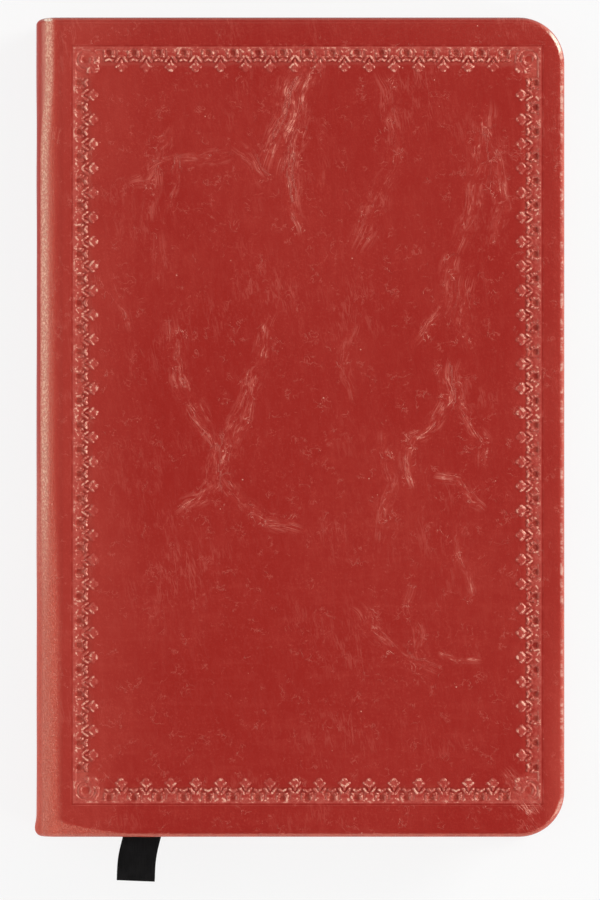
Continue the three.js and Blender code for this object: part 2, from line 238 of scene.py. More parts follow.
def pick(obj, kind, test):
    """Selects the edges or faces whose corners all pass a test, in edit mode."""
    bpy.ops.mesh.select_mode(type=kind)
    bpy.ops.mesh.select_all(action="DESELECT")
    shape = bmesh.from_edit_mesh(obj.data)
    elements = {"EDGE": shape.edges, "FACE": shape.faces}[kind]
    for element in elements:
        element.select_set(test([v.co for v in element.verts]))
    bmesh.update_edit_mesh(obj.data)


def near(value, target):
    return abs(value - target) < 1e-6


def bevel(offset, segments):
    bpy.ops.mesh.bevel(offset=offset, offset_type="OFFSET", segments=segments, affect="EDGES")


def select_everything():
    bpy.ops.mesh.select_all(action="SELECT")


def cut(co, no):
    """Cuts right through everything at a plane."""
    select_everything()
    bpy.ops.mesh.bisect(plane_co=co, plane_no=no)


def face_outwards():
    select_everything()
    bpy.ops.mesh.normals_make_consistent(inside=False)


def round_fore_corners(obj, radius, segments):
    """Rounds the two upright edges at the fore edge, in edit mode."""
    fore = max(v.co.x for v in obj.data.vertices)
    pick(obj, "EDGE", lambda c: near(c[0].x, fore) and near(c[1].x, fore)
         and near(c[0].y, c[1].y))
    bevel(radius, segments)


def modify(obj, kind, **values):
    """Adds a modifier with its values and applies it."""
    only(obj)
    modifier = obj.modifiers.new(kind.title(), kind)
    for key, value in values.items():
        setattr(modifier, key, value)
    bpy.ops.object.modifier_apply(modifier=modifier.name)


def carve(obj, cutter):
    modify(obj, "BOOLEAN", operation="DIFFERENCE", object=cutter, solver="EXACT")
    bpy.data.meshes.remove(cutter.data)


def join(name, pieces):
    """Joins pieces into the first one."""
    only(pieces[0])
    for piece in pieces[1:]:
        piece.select_set(True)
    bpy.ops.object.join()
    pieces[0].name = name
    pieces[0].data.name = name
    return pieces[0]


def copy_of(obj, name, shift=(0, 0, 0)):
    """A copy with its own mesh, moved by a shift."""
    copy = bpy.data.objects.new(name, obj.data.copy())
    copy.data.name = name
    bpy.context.scene.collection.objects.link(copy)
    place_points(copy, points(copy) + np.array(shift))
    return copy


def points(obj):
    co = np.empty(3 * len(obj.data.vertices))
    obj.data.vertices.foreach_get("co", co)
    return co.reshape(-1, 3)


def place_points(obj, co):
    obj.data.vertices.foreach_set("co", co.ravel())
    obj.data.update()


def store(obj, name, values):
    """Keeps one number, or one vector, for each point of a piece."""
    kind, key = ("FLOAT_VECTOR", "vector") if values.ndim == 2 else ("FLOAT", "value")
    obj.data.attributes.new(name, kind, "POINT").data.foreach_set(key, values.ravel())


def smooth(obj, degrees=40):
    only(obj)
    bpy.ops.object.shade_smooth_by_angle(angle=math.radians(degrees))


def finish_piece(obj, material):
    """Gives a new piece its one material."""
    obj.data.materials.clear()
    obj.data.materials.append(material)


# Height fields

def ramp(values, start, end):
    """0 before start, 1 after end, and smooth between them."""
    t = np.clip((values - start) / (end - start), 0, 1)
    return t * t * (3 - 2 * t)


LATTICE = 128      # cells each way before the random hills repeat


def hills(x, y, cell, seed):
    """Smooth random hills about one cell wide, from -1 to 1."""
    heights = np.random.default_rng(seed).uniform(-1, 1, (LATTICE, LATTICE))
    u, v = x / cell + 61.3, y / cell + 57.7
    i, j = np.floor(u).astype(int), np.floor(v).astype(int)
    s, t = ramp(u - i, 0, 1), ramp(v - j, 0, 1)
    low, high = (heights[i % LATTICE, row] * (1 - s) + heights[(i + 1) % LATTICE, row] * s
                 for row in (j % LATTICE, (j + 1) % LATTICE))
    return low * (1 - t) + high * t


def most(*fields):
    return functools.reduce(np.maximum, fields)


def stroke(x, y, x0, y0, x1, y1, radius):
    """How far points lie inside a round-ended stroke: positive within its radius."""
    dx, dy = x1 - x0, y1 - y0
    along = np.clip(((x - x0) * dx + (y - y0) * dy) / (dx * dx + dy * dy + 1e-12), 0, 1)
    return radius - np.hypot(x - x0 - along * dx, y - y0 - along * dy)


def frame_sides():
    """Left, right, bottom and top of the border's outer rule."""
    b = border()
    return (SPINE_OUTER + b.from_spine, FORE_EDGE - b.from_fore,
            -COVER_END + b.from_tail, COVER_END - b.from_head)


# The border's measures, in millimetres
GROOVE = 0.35           # outside the rule, pressed with it
BAND = 5.0              # inside the rule, holding the ornament
CORNER_ZONE = 6.2       # at each end of a side, without palmettes
CORNER_REACH = 7.5      # of the corner's own ornament
CORNER_SCALE = 1.4      # how much larger the corner's palmette is
BOSS = 2.25             # from the rule to the middle of the corner's boss
RIDGE = 0.62            # from one fine ridge to the next

# Strokes of the palmette: half of it, in millimetres along the rule and inwards from it,
# with a radius and a rub each, the rub also setting its painted highlight; the other half is its
# mirror image
PALMETTE = (
    (0.20, 1.62, 0.88, 2.52, 0.19, 1.00),
    (0.00, 2.35, 0.00, 2.95, 0.17, 0.55),
    (0.20, 2.98, 0.80, 3.54, 0.20, 1.00),
    (0.00, 3.30, 0.00, 3.72, 0.56, 0.46),
    (0.00, 4.10, 0.12, 4.10, 0.24, 1.00),
    (0.34, 0.92, 0.80, 0.52, 0.19, 0.90),
)

# Strokes of the arch between two palmettes: half of it
ARCH = (
    (0.78, 0.62, 0.86, 1.26, 0.19, 0.95),
    (0.78, 1.74, 0.62, 1.62, 0.17, 0.80),
    (0.00, 2.14, 0.50, 2.38, 0.19, 1.00),
)


def raised(u, v, strokes):
    """How much points stand up on mirrored strokes, how rubbed they are with painted highlights,
    and the hollows beside them that take painted shade.
    """
    lift, rub_and_painted_light, near_by = (np.zeros(u.shape) for _ in range(3))
    for x0, y0, x1, y1, radius, rub_and_glint in strokes:
        inside = stroke(np.abs(u), v, x0, y0, x1, y1, radius)
        high = ramp(inside, -0.13, 0.11)
        lift = np.maximum(lift, high)
        rub_and_painted_light = np.maximum(rub_and_painted_light, rub_and_glint * high)
        near_by = np.maximum(near_by, ramp(inside, -0.42, -0.12))
    return lift, rub_and_painted_light, near_by * (1 - lift)


def tooling(x, y):
    """Height in millimetres of the border's ornament, how rubbed it is with its painted
    highlights and shade, and how far inside its rule.
    """
    left, right, bottom, top = (value / MM for value in frame_sides())
    from_left, from_bottom = x - left, y - bottom
    side_v = np.minimum(from_left, right - x)
    end_v = np.minimum(from_bottom, top - y)
    v = np.minimum(side_v, end_v)
    along_side = side_v < end_v
    run = np.where(along_side, top - bottom, right - left) - 2 * CORNER_ZONE
    pitch = run / np.round(run / (border().pitch / MM))
    u = np.where(along_side, from_bottom, from_left) - CORNER_ZONE
    palm_u = ((u / pitch) % 1 - 0.5) * pitch
    arch_u = ((u / pitch + 0.5) % 1 - 0.5) * pitch
    between = (u > -0.2 * pitch) & (u < run + 0.2 * pitch)
    on_palm = (u > 0) & (u < run)
    palm, palm_rub_and_glint, palm_hollow = (on_palm * field for field in raised(palm_u, v, PALMETTE))
    arch, arch_rub_and_glint, arch_hollow = (between * field for field in raised(arch_u, v, ARCH))
    # The corner: a larger palmette on the diagonal, and part of a ring
    diagonal_u = (side_v - end_v) / math.sqrt(2)
    diagonal_v = (side_v + end_v) / math.sqrt(2)
    in_corner = (side_v < CORNER_REACH) & (end_v < CORNER_REACH)
    outside_ring = ramp(diagonal_v, 4.1, 4.7) * in_corner
    corner, corner_rub_and_glint, corner_hollow = (outside_ring * field for field in raised(
        diagonal_u / CORNER_SCALE, diagonal_v / CORNER_SCALE, PALMETTE))
    from_boss = np.hypot(side_v - BOSS, end_v - BOSS)
    ring = np.minimum(np.abs(from_boss - 1.05), np.abs(from_boss - 1.95))
    ring = ramp(0.26 - ring, -0.16, 0.16) * ramp(hills(x, y, 1.5, 25), -0.8, 0.0) * in_corner
    lift = most(palm, arch, corner, ring)
    rub_and_painted_light = most(palm_rub_and_glint, arch_rub_and_glint, corner_rub_and_glint, 0.6 * ring)
    # Fine ridges across the strokes
    ridges = np.abs(np.sin(math.pi * (x + 0.6 * y + 0.1 * hills(x, y, 0.8, 26)) / RIDGE))
    strength = 1 + 0.25 * hills(x, y, 5, 22) + 0.30 * hills(x, y, 1.1, 23)
    strength = strength * (0.72 + 0.40 * ridges)
    # The pressed ground, deep beside the rule and running out before the fans
    depth = border().depth / MM
    ground = depth * ramp(v, 0.40, 0.75)
    ground *= 1 - ramp(v + 0.3 * hills(x, y, 2.5, 21), 1.9, 3.5)
    pad = ramp(stroke(np.abs(palm_u), v, 0, 0.5, 0, 1.15, 0.78), -0.25, 0.25) * on_palm
    pit = ramp(1 - np.hypot(arch_u / 0.66, (v - 1.02) / 0.80), -0.05, 0.45) * between
    bead = ramp(v, 0.0, 0.12) * (1 - ramp(v, 0.42, 0.62))
    groove = 0.07 * ramp(np.minimum(v + GROOVE, 0.08 - v), 0, 0.25)
    standing = most(np.clip(lift * strength, 0, 1), bead, 0.8 * pad)
    height = (-np.maximum(ground, groove) - 0.6 * depth * pit) * (1 - 0.93 * standing)
    height += 0.13 * lift * strength * ramp(v, 1.5, 2.4)
    # What stands up, the band by the rule, the pads and the corner's boss are rubbed light and
    # carry painted highlights
    skin = ramp(v, 0.03, 0.10) * (0.74 - 0.30 * ramp(v, 0.35, 0.8) - 0.44 * ramp(v, 1.2, 2.2))
    skin = most(skin, 0.62 * pad, 0.45 * (1 - ramp(from_boss, 2.2, 3.4)))
    rub_and_painted_light = most(np.clip(rub_and_painted_light * strength, 0, 1), skin * (1 + 0.25 * hills(x, y, 0.8, 24)))
    hollow = most(palm_hollow, arch_hollow, corner_hollow) * (1 - lift)
    hollow = hollow * ramp(v, 0.9, 1.6) * (1 - 0.7 * ramp(v, 2.6, 3.0))
    # Painted shade in the pits, in the groove outside the rule, in the hollows beside the strokes
    # and at the middle of the corner's boss
    shade = most(0.60 * pit, 0.45 * ramp(np.minimum(v + 0.26, 0.02 - v), 0, 0.08),
                 0.42 * hollow, 0.35 * (1 - ramp(from_boss, 0.3, 1.0)))
    return height, rub_and_painted_light - shade * (1 + rub_and_painted_light), v


# Bundles of creases, in millimetres on the cover: half width, strength and course
CREASES = (
    (0.8, 1.00, ((-1.0, 59.6), (-1.5, 57.7), (-2.6, 54.8), (-3.7, 52.4), (-4.2, 50.0))),
    (0.7, 1.00, ((-1.1, 46.6), (-1.8, 43.0), (-1.3, 40.4), (-0.9, 38.3))),
    (1.9, 0.75, ((-22.0, 16.8), (-21.3, 8.6), (-17.9, 3.5), (-14.3, -2.5))),
    (1.6, 0.85, ((-5.6, 17.6), (-8.2, 8.2), (-10.8, 0.6), (-13.5, -7.1))),
    (1.3, 0.90, ((-14.3, -3.2), (-14.9, -9.7), (-16.9, -12.2), (-19.8, -13.9))),
    (1.5, 0.85, ((-13.1, -9.2), (-10.1, -12.9), (-6.7, -15.8), (-2.2, -17.0))),
    (2.9, 1.00, ((0.3, 62.0), (-0.9, 57.4), (-2.2, 52.3), (-4.3, 46.5))),
    (1.5, 0.90, ((-0.2, 50.1), (-1.7, 43.2), (-1.5, 39.0), (-0.5, 34.7))),
    (1.8, 0.60, ((14.3, 58.6), (15.9, 50.9), (16.0, 44.1), (13.1, 39.0), (10.4, 32.1))),
    (1.8, 0.80, ((31.2, 54.0), (29.9, 47.5), (30.2, 42.4), (28.9, 37.3), (27.5, 32.1))),
    (1.5, 0.85, ((31.4, 50.9), (33.8, 44.4), (34.0, 38.1), (33.0, 33.0))),
    (1.5, 0.75, ((26.1, 28.4), (24.8, 23.6), (23.4, 19.3), (20.3, 15.1))),
    (1.6, 0.70, ((28.2, 24.5), (27.1, 20.2), (28.9, 14.2))),
    (1.4, 1.00, ((24.9, 9.6), (24.8, 4.5), (23.0, 1.4), (19.5, -2.0), (18.6, -5.4),
                 (19.0, -8.8))),
    (1.4, 0.75, ((26.5, 10.0), (26.3, 4.5), (28.9, 1.4), (31.2, -2.0), (31.6, -5.4))),
    (0.9, 0.95, ((23.7, -8.8), (26.3, -9.2), (28.3, -11.9), (30.2, -13.9))),
    (1.2, 0.70, ((14.2, -2.0), (15.4, -8.0), (14.5, -12.2), (13.5, -18.2))),
    (0.9, 0.75, ((27.8, -16.5), (27.3, -19.9), (28.5, -23.3), (29.4, -27.6))),
    (1.6, 0.60, ((10.4, -31.4), (14.2, -36.1), (16.9, -38.7), (22.0, -40.9))),
    (1.4, 0.60, ((19.0, -28.5), (19.6, -34.4), (20.3, -38.7))),
    (0.7, 0.90, ((24.2, -38.2), (26.8, -39.2), (29.7, -39.7))),
    (1.3, 0.60, ((-27.8, 42.1), (-24.1, 44.8), (-19.0, 45.8), (-13.5, 46.7))),
    (1.1, 0.60, ((-22.7, 50.6), (-24.1, 45.8), (-25.8, 39.0), (-26.1, 36.4))),
    (0.7, 0.75, ((-21.0, 45.8), (-21.3, 41.5), (-22.7, 38.1))),
    (0.7, 0.70, ((-31.2, 23.6), (-30.0, 19.9), (-29.4, 16.8))),
    (1.4, 0.60, ((-10.4, 47.5), (-7.9, 45.0), (-6.7, 42.4))),
    (1.7, 0.45, ((-24.4, 31.0), (-24.1, 26.0))),
    (1.2, 0.50, ((8.4, 16.0), (7.6, 11.0), (8.6, 6.0))),
    (1.3, 0.80, ((35.0, -60.0), (36.6, -62.0), (38.0, -64.2))),
)

BUNDLE_GAP = 17.0       # from the end of one bundle's pattern to the start of the next


def crease_run(x, y):
    """Where points lie along and across the nearest bundle, and how creased they are."""
    place_x = x + 0.7 * hills(x, y, 4, 11)
    place_y = y + 0.7 * hills(x, y, 4, 12)
    along, across, amount = np.zeros((3, *x.shape))
    start = 0.0
    for width, strength, course in CREASES:
        nearest = np.full(x.shape, np.inf)
        run, side = np.zeros((2, *x.shape))
        for (x0, y0), (x1, y1) in zip(course, course[1:]):
            dx, dy = x1 - x0, y1 - y0
            length = math.hypot(dx, dy)
            share = np.clip(((place_x - x0) * dx + (place_y - y0) * dy) / length ** 2, 0, 1)
            off_x, off_y = place_x - x0 - share * dx, place_y - y0 - share * dy
            distance = np.hypot(off_x, off_y)
            closer = distance < nearest
            nearest = np.where(closer, distance, nearest)
            run = np.where(closer, start + share * length, run)
            side = np.where(closer, (dx * off_y - dy * off_x) / length, side)
            start += length
        here = strength * (1 - ramp(nearest / width, 0.25, 1.6))
        better = here > amount
        along, across = np.where(better, run, along), np.where(better, side, across)
        amount = np.where(better, here, amount)
        start += BUNDLE_GAP
    return np.stack((along, across, amount), axis=1)


def cover_height(x, y):
    """Height of the front cover's face over its level in millimetres, how rubbed it is with its
    painted highlights and shade, and its creases.
    """
    tool, rub_and_painted_light, v = tooling(x, y)
    swell = 0.045 * hills(x, y, 21, 1) + 0.03 * hills(x, y, 9, 2) + 0.015 * hills(x, y, 3.5, 3)
    run = crease_run(x, y)
    ridge = 1 - np.abs(hills(run[:, 0], 4 * run[:, 1], 4.0, 4))
    fine = 1 - np.abs(hills(run[:, 0], 3 * run[:, 1], 1.5, 5))
    wrinkle = run[:, 2] * (0.05 * ridge ** 3 + 0.03 * fine ** 4 - 0.03)
    inner = ramp(v, -GROOVE, 3.5)
    return tool + inner * (swell - 0.05) + ramp(v, 0, 1) * wrinkle, rub_and_painted_light, run


# Materials

# Places on the leather and the page, in millimetres
PAINTED_GLINT_CORNER = (43.9, 65.9, 15.8)        # at the fore edge's head, the middle of a painted highlight
PAINTED_GLINT_SPINE_HEAD = (-43.2, 69.577)       # a longer painted highlight, over the spine's head
BENT_CORNER = (38.5, -66.0, THICKNESS / MM)
TAIL_FOLD = -66.7                       # below it the shoulder's rubbed band and painted highlight widen
MATT_SPINE = (-44.7, -43.9)             # where the spine's lost gloss fades out
HEADING = 54.0                          # above it a page isn't ruled
RULES_START = -200.5                    # a point below the page, where the ruling's count starts


class Value:
    """One output of a node; arithmetic with it adds nodes."""

    def __init__(self, nodes, socket):
        self.nodes, self.socket = nodes, socket

    def math(self, operation, other=0.0, **settings):
        return self.nodes.add("Math", 0, {0: self, 1: other}, operation=operation, **settings)

    def __add__(self, other):
        return self.math("ADD", other)

    def __sub__(self, other):
        return self.math("SUBTRACT", other)

    def __rsub__(self, other):
        return self.nodes.add("Math", 0, {0: other, 1: self}, operation="SUBTRACT")

    def __mul__(self, other):
        return self.math("MULTIPLY", other)

    def __truediv__(self, other):
        return self.math("DIVIDE", other)

    def __abs__(self):
        return self.math("ABSOLUTE")

    def at_least(self, other):
        return self.math("MAXIMUM", other)

    def ribs(self, rate):
        """Round ribs across an axis."""
        return abs((self * rate).math("SINE"))

    def fade(self, start, end, low=0.0, high=1.0):
        """Maps a value smoothly from one range to another."""
        return self.nodes.add(
            "MapRange", 0, {"Value": self, "From Min": start, "From Max": end,
                            "To Min": low, "To Max": high}, interpolation_type="SMOOTHSTEP")

    def axis(self, index):
        return self.nodes.add("SeparateXYZ", index, {0: self})

    def away(self, point):
        """Distance from a point."""
        return self.nodes.add("VectorMath", "Value", {0: self, 1: point}, operation="DISTANCE")

    def mapped(self, stretch, turn=0.0):
        return self.nodes.add(
            "Mapping", 0, {"Vector": self, "Scale": stretch, "Rotation": (0, 0, turn)})

    def noise(self, scale, detail=2.0, roughness=0.5, distortion=0.0):
        return self.nodes.add(
            "TexNoise", 0, {"Vector": self, "Scale": scale, "Detail": detail,
                            "Roughness": roughness, "Distortion": distortion})

    def cells(self, scale, feature="F1"):
        return self.nodes.add(
            "TexVoronoi", 0, {"Vector": self, "Scale": scale}, feature=feature)


class Nodes:
    """A small builder for the node tree of a material or the world."""

    def __init__(self, name, kind="materials", at_rest=False):
        self.owner = getattr(bpy.data, kind).new(name)
        self.owner.use_nodes = True
        self.tree = self.owner.node_tree
        self.shader = self.tree.nodes.get("Principled BSDF")
        self.at_rest = at_rest

    def put(self, socket, value):
        """Links a value to a socket, or sets it there."""
        value = getattr(value, "socket", value)
        if isinstance(value, bpy.types.NodeSocket):
            self.tree.links.new(value, socket)
        else:
            socket.default_value = value

    def add(self, kind, output, values=None, **settings):
        """Adds a node and gives one of its outputs."""
        node = self.tree.nodes.new("ShaderNode" + kind)
        for key, value in settings.items():
            setattr(node, key, value)
        for key, value in (values or {}).items():
            self.put(node.inputs[key], value)
        return Value(self, node.outputs[output])

    def attribute(self, name, output="Fac"):
        return self.add("Attribute", output, attribute_name=name)

    def place(self, stretch=(1, 1, 1), turn=0.0):
        """A place in millimetres, stretched and turned for a pattern."""
        start = (self.attribute("rest_place", "Vector") if self.at_rest
                 else self.add("TexCoord", "Object"))
        return start.mapped([s / MM for s in stretch], turn)

    def tint(self, colour, *layers):
        """Lays tones over a colour, each with the share of it that it covers."""
        for share, tone in layers:
            low, high = (c if isinstance(c, Value) else (*c, 1) for c in (colour, tone))
            colour = self.add("Mix", 2, {0: share, 6: low, 7: high}, data_type="RGBA")
        return colour

    def finish(self, colour, roughness, specular, height=None, mirror=(1, 1, 1, 1)):
        """Sets the shader's finish, and its relief from a height in millimetres."""
        values = {"Base Color": colour, "Roughness": roughness,
                  "Specular IOR Level": specular, "Specular Tint": mirror}
        if height:
            values["Normal"] = self.add(
                "Bump", 0, {"Height": height, "Strength": 1.0, "Distance": MM})
        for key, value in values.items():
            self.put(self.shader.inputs[key], value)
        return self.owner

    def show(self, share, lit, seen, output):
        """Shows one shader to rays that look, reflect or pass through, another to the rest."""
        camera, glossy, through = (self.add("LightPath", f"Is {kind} Ray") for kind in (
            "Camera", "Glossy", "Transmission"))
        looking = camera.at_least(glossy).at_least(through)
        mixed = self.add("MixShader", 0, {0: looking * share, 1: lit, 2: seen})
        self.put(self.tree.nodes[output].inputs["Surface"], mixed)


def crease_lines(run):
    """Fine broken lines that follow the first axis of a run."""
    long = run.mapped((0.16, 0.95, 0)).noise(1.0, 2, 0.55, 0.3)
    short = run.mapped((0.50, 2.1, 0)).noise(1.0, 2, 0.6)
    broken = run.mapped((0.30, 0.55, 0)).noise(1.0, 2, 0.6).fade(0.42, 0.60)
    lines = abs(long - 0.5).fade(0.062, 0.0) * 0.85 + abs(short - 0.5).fade(0.060, 0.0) * 0.60
    return lines.math("MULTIPLY", broken, use_clamp=True)


def leather_material(name):
    """Glossy red faux leather: worn, creased, and tooled where an attribute says so, with painted
    highlights, sheen and shade.
    """
    n = Nodes(name, at_rest=True)
    look = leather()
    place = n.place()
    x, y, z = (place.axis(index) for index in range(3))
    rub_and_painted_light = n.attribute("rub_and_painted_light")
    run = n.attribute("crease_run", "Vector")
    # Cloudy dye, fine streaks up the cover, smears across its lower half, and a painted sheen
    # beside the spine and along the fore edge, stronger towards the tail
    cloud = place.noise(0.045, 3, 0.55).fade(0.40, 0.66)
    streak = n.place((1.0, 0.25, 1)).noise(0.9, 3, 0.65).fade(0.42, 0.70)
    smear = n.place((0.25, 1.2, 1)).noise(0.5, 3, 0.6, 0.3).fade(0.48, 0.72)
    low_down = y.fade(-5.0, -30.0, 0.15, 1.0)
    fleck = place.noise(2.3, 3, 0.7).fade(0.50, 0.72)
    fleck = fleck * place.noise(0.12, 3, 0.6).fade(0.35, 0.65, 0.35, 1.0)
    # Painted sheen, lighter towards the spine
    spine_side = (x + place.noise(0.08) * 14.0).fade(-16.0, -33.0)
    painted_fore_sheen = (x.fade(34.0, 42.0, 0, 0.15)
                 + x.fade(40.5, 44.4) * y.fade(-25.0, -60.0, 0.15, 0.8))
    lightness = (cloud * 0.14 + streak * 0.12 + smear * low_down * 0.16 + fleck * 0.45
                 + spine_side * 0.55 + painted_fore_sheen)
    # The turned edges are rubbed lighter, partly as a painted sheen, which is left off at the
    # head's rim and beside the spine
    middle = abs(z - THICKNESS / MM / 2)
    edge = middle.fade(7.99, 7.55) * middle.fade(5.6, 6.9)
    edge = edge * place.noise(0.5, 3, 0.6).fade(0.30, 0.65, 0.15, 0.75)
    edge = edge * (x.fade(-43.0, -41.5) * y.fade(69.3, 68.4))
    # So is the spine's shoulder, which also carries a painted highlight: grainy towards the head,
    # brightest in a cream band there, and wider at the tail's corner
    grain_noise = n.place((1.5, 0.9, 1.0), 0.6).noise(2.6, 3, 0.7).fade(0.42, 0.60)
    tailwards = y.fade(5.0, -45.0)
    low = (TAIL_FOLD - y).at_least(0.0) / 2.3
    band = x - y.fade(46.0, 61.0, 0.0, 0.8)
    outer = band.fade(-44.72, -44.12).at_least(tailwards)
    fold = x - low * low * 8.6 - tailwards.fade(0, 1, -0.8, 0.0)
    shoulder = fold.fade(-40.4, -42.7) * outer
    rubbed = shoulder * grain_noise.fade(0, 1, 0.70, 1.0) * x.fade(-42.0, -39.5, 1.0, 0.60)
    cream = grain_noise.fade(0, 1, 0.30, 1.0) * tailwards.fade(0, 1, 1, 0.0)
    cream = cream * (band.fade(-42.75, -43.75) * outer)
    # Painted highlights shine on the rim of the fore edge, at its head corner and at the spine's
    rim = middle.fade(7.40, 7.58) * middle.fade(7.97, 7.86)
    rim_glints = n.place((0.4, 1.0, 0.4)).noise(0.6, 3, 0.7).fade(0.46, 0.68, 0.0, 0.42)
    rim_glints = rim_glints * x.fade(43.2, 43.9)
    shine = rim * place.away(PAINTED_GLINT_CORNER).fade(2.9, 1.2).at_least(rim_glints)
    squash = 2.6
    spine_head = place.mapped((1.0, squash, 0.0)).away(
        (PAINTED_GLINT_SPINE_HEAD[0], squash * PAINTED_GLINT_SPINE_HEAD[1], 0.0))
    shine = shine.at_least(spine_head.fade(0.9, 0.5) * z.fade(8.0, 9.0))
    shine = shine * place.noise(1.2, 3, 0.7).fade(0.30, 0.50, 0.4, 1.0)
    # Creases: lines along the bundles, and faint ones astray
    amount = run.axis(2)
    stray = place.noise(0.07, 2, 0.5).fade(0.50, 0.72, 0.06, 0.42)
    swerve = (run.mapped((0.35, 0.1, 0)).noise(1.0, 2, 0.6) - 0.5) * 2.2
    core = abs(run.axis(1) + swerve).fade(0.27, 0.06) * amount.fade(0.70, 0.97)
    core = core * run.mapped((0.35, 0, 0)).noise(1.0, 2).fade(0.45, 0.60, 0.0, 0.7)
    bundle = (crease_lines(run) * amount).at_least(core)
    upright = place.mapped((1, 1, 1), math.radians(80))
    crease = bundle.at_least(crease_lines(upright) * stray)
    curl = abs(place.noise(0.55, 3, 0.65, 0.4) - 0.5).fade(0.030, 0.0)
    curl = curl * place.noise(0.42, 2, 0.6).fade(0.52, 0.66)
    crease = crease.at_least(curl * amount.fade(0.0, 0.4, 0.50, 0.85))
    # The tail's fore corner has been bent
    slanting = place.mapped((1, 1, 1), math.radians(52))
    bent = crease_lines(slanting) * place.away(BENT_CORNER).fade(4.6, 1.5)
    crease = crease.at_least(bent)
    # Between the lines: a soft light tone, dust, and painted glints on bright peaks and specks
    soft = amount * amount * place.noise(0.8, 3, 0.6).fade(0.38, 0.66, 0.05, 0.55)
    dust = place.noise(2.4, 2, 0.6).fade(0.60, 0.74) * (amount * 0.55 + stray * 0.35)
    crease_glint = crease.fade(0.50, 1.0) * place.noise(0.8, 2, 0.6).fade(0.44, 0.62)
    glint_speck = place.cells(0.30).fade(0.055, 0.02) * place.noise(0.2).fade(0.52, 0.6)
    # The tooled border: rubbed light with painted highlights where it stands up, painted shade
    # where it is pressed in
    worn = rub_and_painted_light.at_least(0.0) * place.noise(1.4, 4, 0.75).fade(0.36, 0.60, 0.42, 1.0)
    colour = n.tint(
        look.colour,
        (lightness.math("MINIMUM", 1.0), look.light),
        # rubbed edges and shoulder, lighter also for their painted sheen and highlight
        (edge.at_least(rubbed), (0.66, 0.105, 0.068)),
        # the painted highlight's cream band on the spine's shoulder
        (cream * 0.88, (0.98, 0.53, 0.38)),
        # painted shade along the head's rim
        (y.fade(69.45, 69.90, 0.0, 0.7), look.pressed),
        (shine, (1.0, 0.78, 0.64)),
        (soft, look.light),
        (crease.at_least(dust) * 0.70, look.crease),
        # painted glints on the crease peaks and specks
        (crease_glint.at_least(glint_speck) * 0.60, (0.90, 0.37, 0.28)),
        (worn, look.rubbed),
        # painted glints where the tooling is most rubbed
        (worn.fade(0.66, 0.96, 0.0, 0.85), (0.93, 0.46, 0.34)),
        # painted shade in the tooling's pits and hollows
        ((rub_and_painted_light * -1.0).at_least(0.0), look.pressed))
    # Fine pebbled grain, and creases that stand in the surface
    fine = place.noise(5.5, 2, 0.6)
    height = (place.cells(2.9, "SMOOTH_F1") * -0.020 + fine * 0.016
              + place.noise(0.8, 2, 0.5) * 0.030 + crease * 0.035 + glint_speck * 0.04
              + grain_noise * shoulder.at_least(edge) * 0.05
              + place.noise(1.1, 2, 0.6) * x.fade(42.0, 43.5) * 0.12)
    # The spine has lost its gloss
    gloss = rub_and_painted_light.fade(-0.05, -0.45, 1.0, 0.45) * x.fade(*MATT_SPINE, 0.30, 1.0)
    rough = fine * 0.08 + (look.roughness - 0.03) + x.fade(*MATT_SPINE, 0.2, 0.0)
    return n.finish(colour, rough, gloss, height, (1.0, 0.72, 0.54, 1.0))


def paper_material(name, colour, ruled):
    """Uncoated paper: soft fibres and mottle, and ruled lines on the pages."""
    n = Nodes(name, at_rest=True)
    place = n.place()
    mottle = place.noise(0.25, 4, 0.6)
    fibre = n.place((1, 3.0, 3.0), 0.5).noise(3.0, 3, 0.65)
    layers = n.place((0.04, 0.04, 5.5)).noise(1.0, 3, 0.75).fade(0.42, 0.64, 0, 0.55)
    # Only the cut edges show the sheets as layers
    radius = paper().corner / MM
    y = place.axis(1)
    past_x = (place.axis(0) - (PAGE_HIGH.x / MM - radius)).at_least(0.0)
    past_y = (abs(y) - (PAGE_HIGH.y / MM - radius)).at_least(0.0)
    past = (past_x * past_x + past_y * past_y).math("SQRT")
    cut_edge = past.fade(radius - 0.25, radius - 0.10)
    pale, fibrous, layered = ([share * c for c in colour] for share in (0.95, 0.86, 0.66))
    shade = n.tint(pale, (mottle.fade(0.35, 0.65), colour),
                   (fibre.fade(0.55, 0.75, 0, 0.22), fibrous), (layers * cut_edge, layered))
    if ruled:
        row = ((y - RULES_START) / (paper().rule_pitch / MM)).math("FRACT")
        below_heading = y.fade(HEADING, HEADING - 0.1) * cut_edge.fade(0.1, 0.0)
        line = abs(row - 0.5).fade(0.018, 0.006) * below_heading
        shade = n.tint(shade, (line * mottle.fade(0.3, 0.6, 0.5, 0.8), paper().rule))
    return n.finish(shade, fibre.fade(0.3, 0.7, 0.78, 0.9), 0.25, fibre * 0.006 + mottle * 0.010)


def mull_material():
    """Plain woven cloth, its threads running up and across."""
    n = Nodes("mull_cloth")
    place = n.place()
    light, dark, pitch = (0.74, 0.69, 0.57), (0.42, 0.37, 0.28), 0.8
    up, over = ((place.axis(index) + place.noise(0.4) * 0.3).ribs(math.pi / pitch)
                for index in (1, 2))
    weave = up * over
    fuzz = place.noise(3.0, 3, 0.7)
    colour = n.tint(dark, (weave.fade(0.05, 0.7), light), (fuzz.fade(0.5, 0.8, 0, 0.3), dark))
    return n.finish(colour, 0.9, 0.2, weave * 0.08 + fuzz * 0.03)


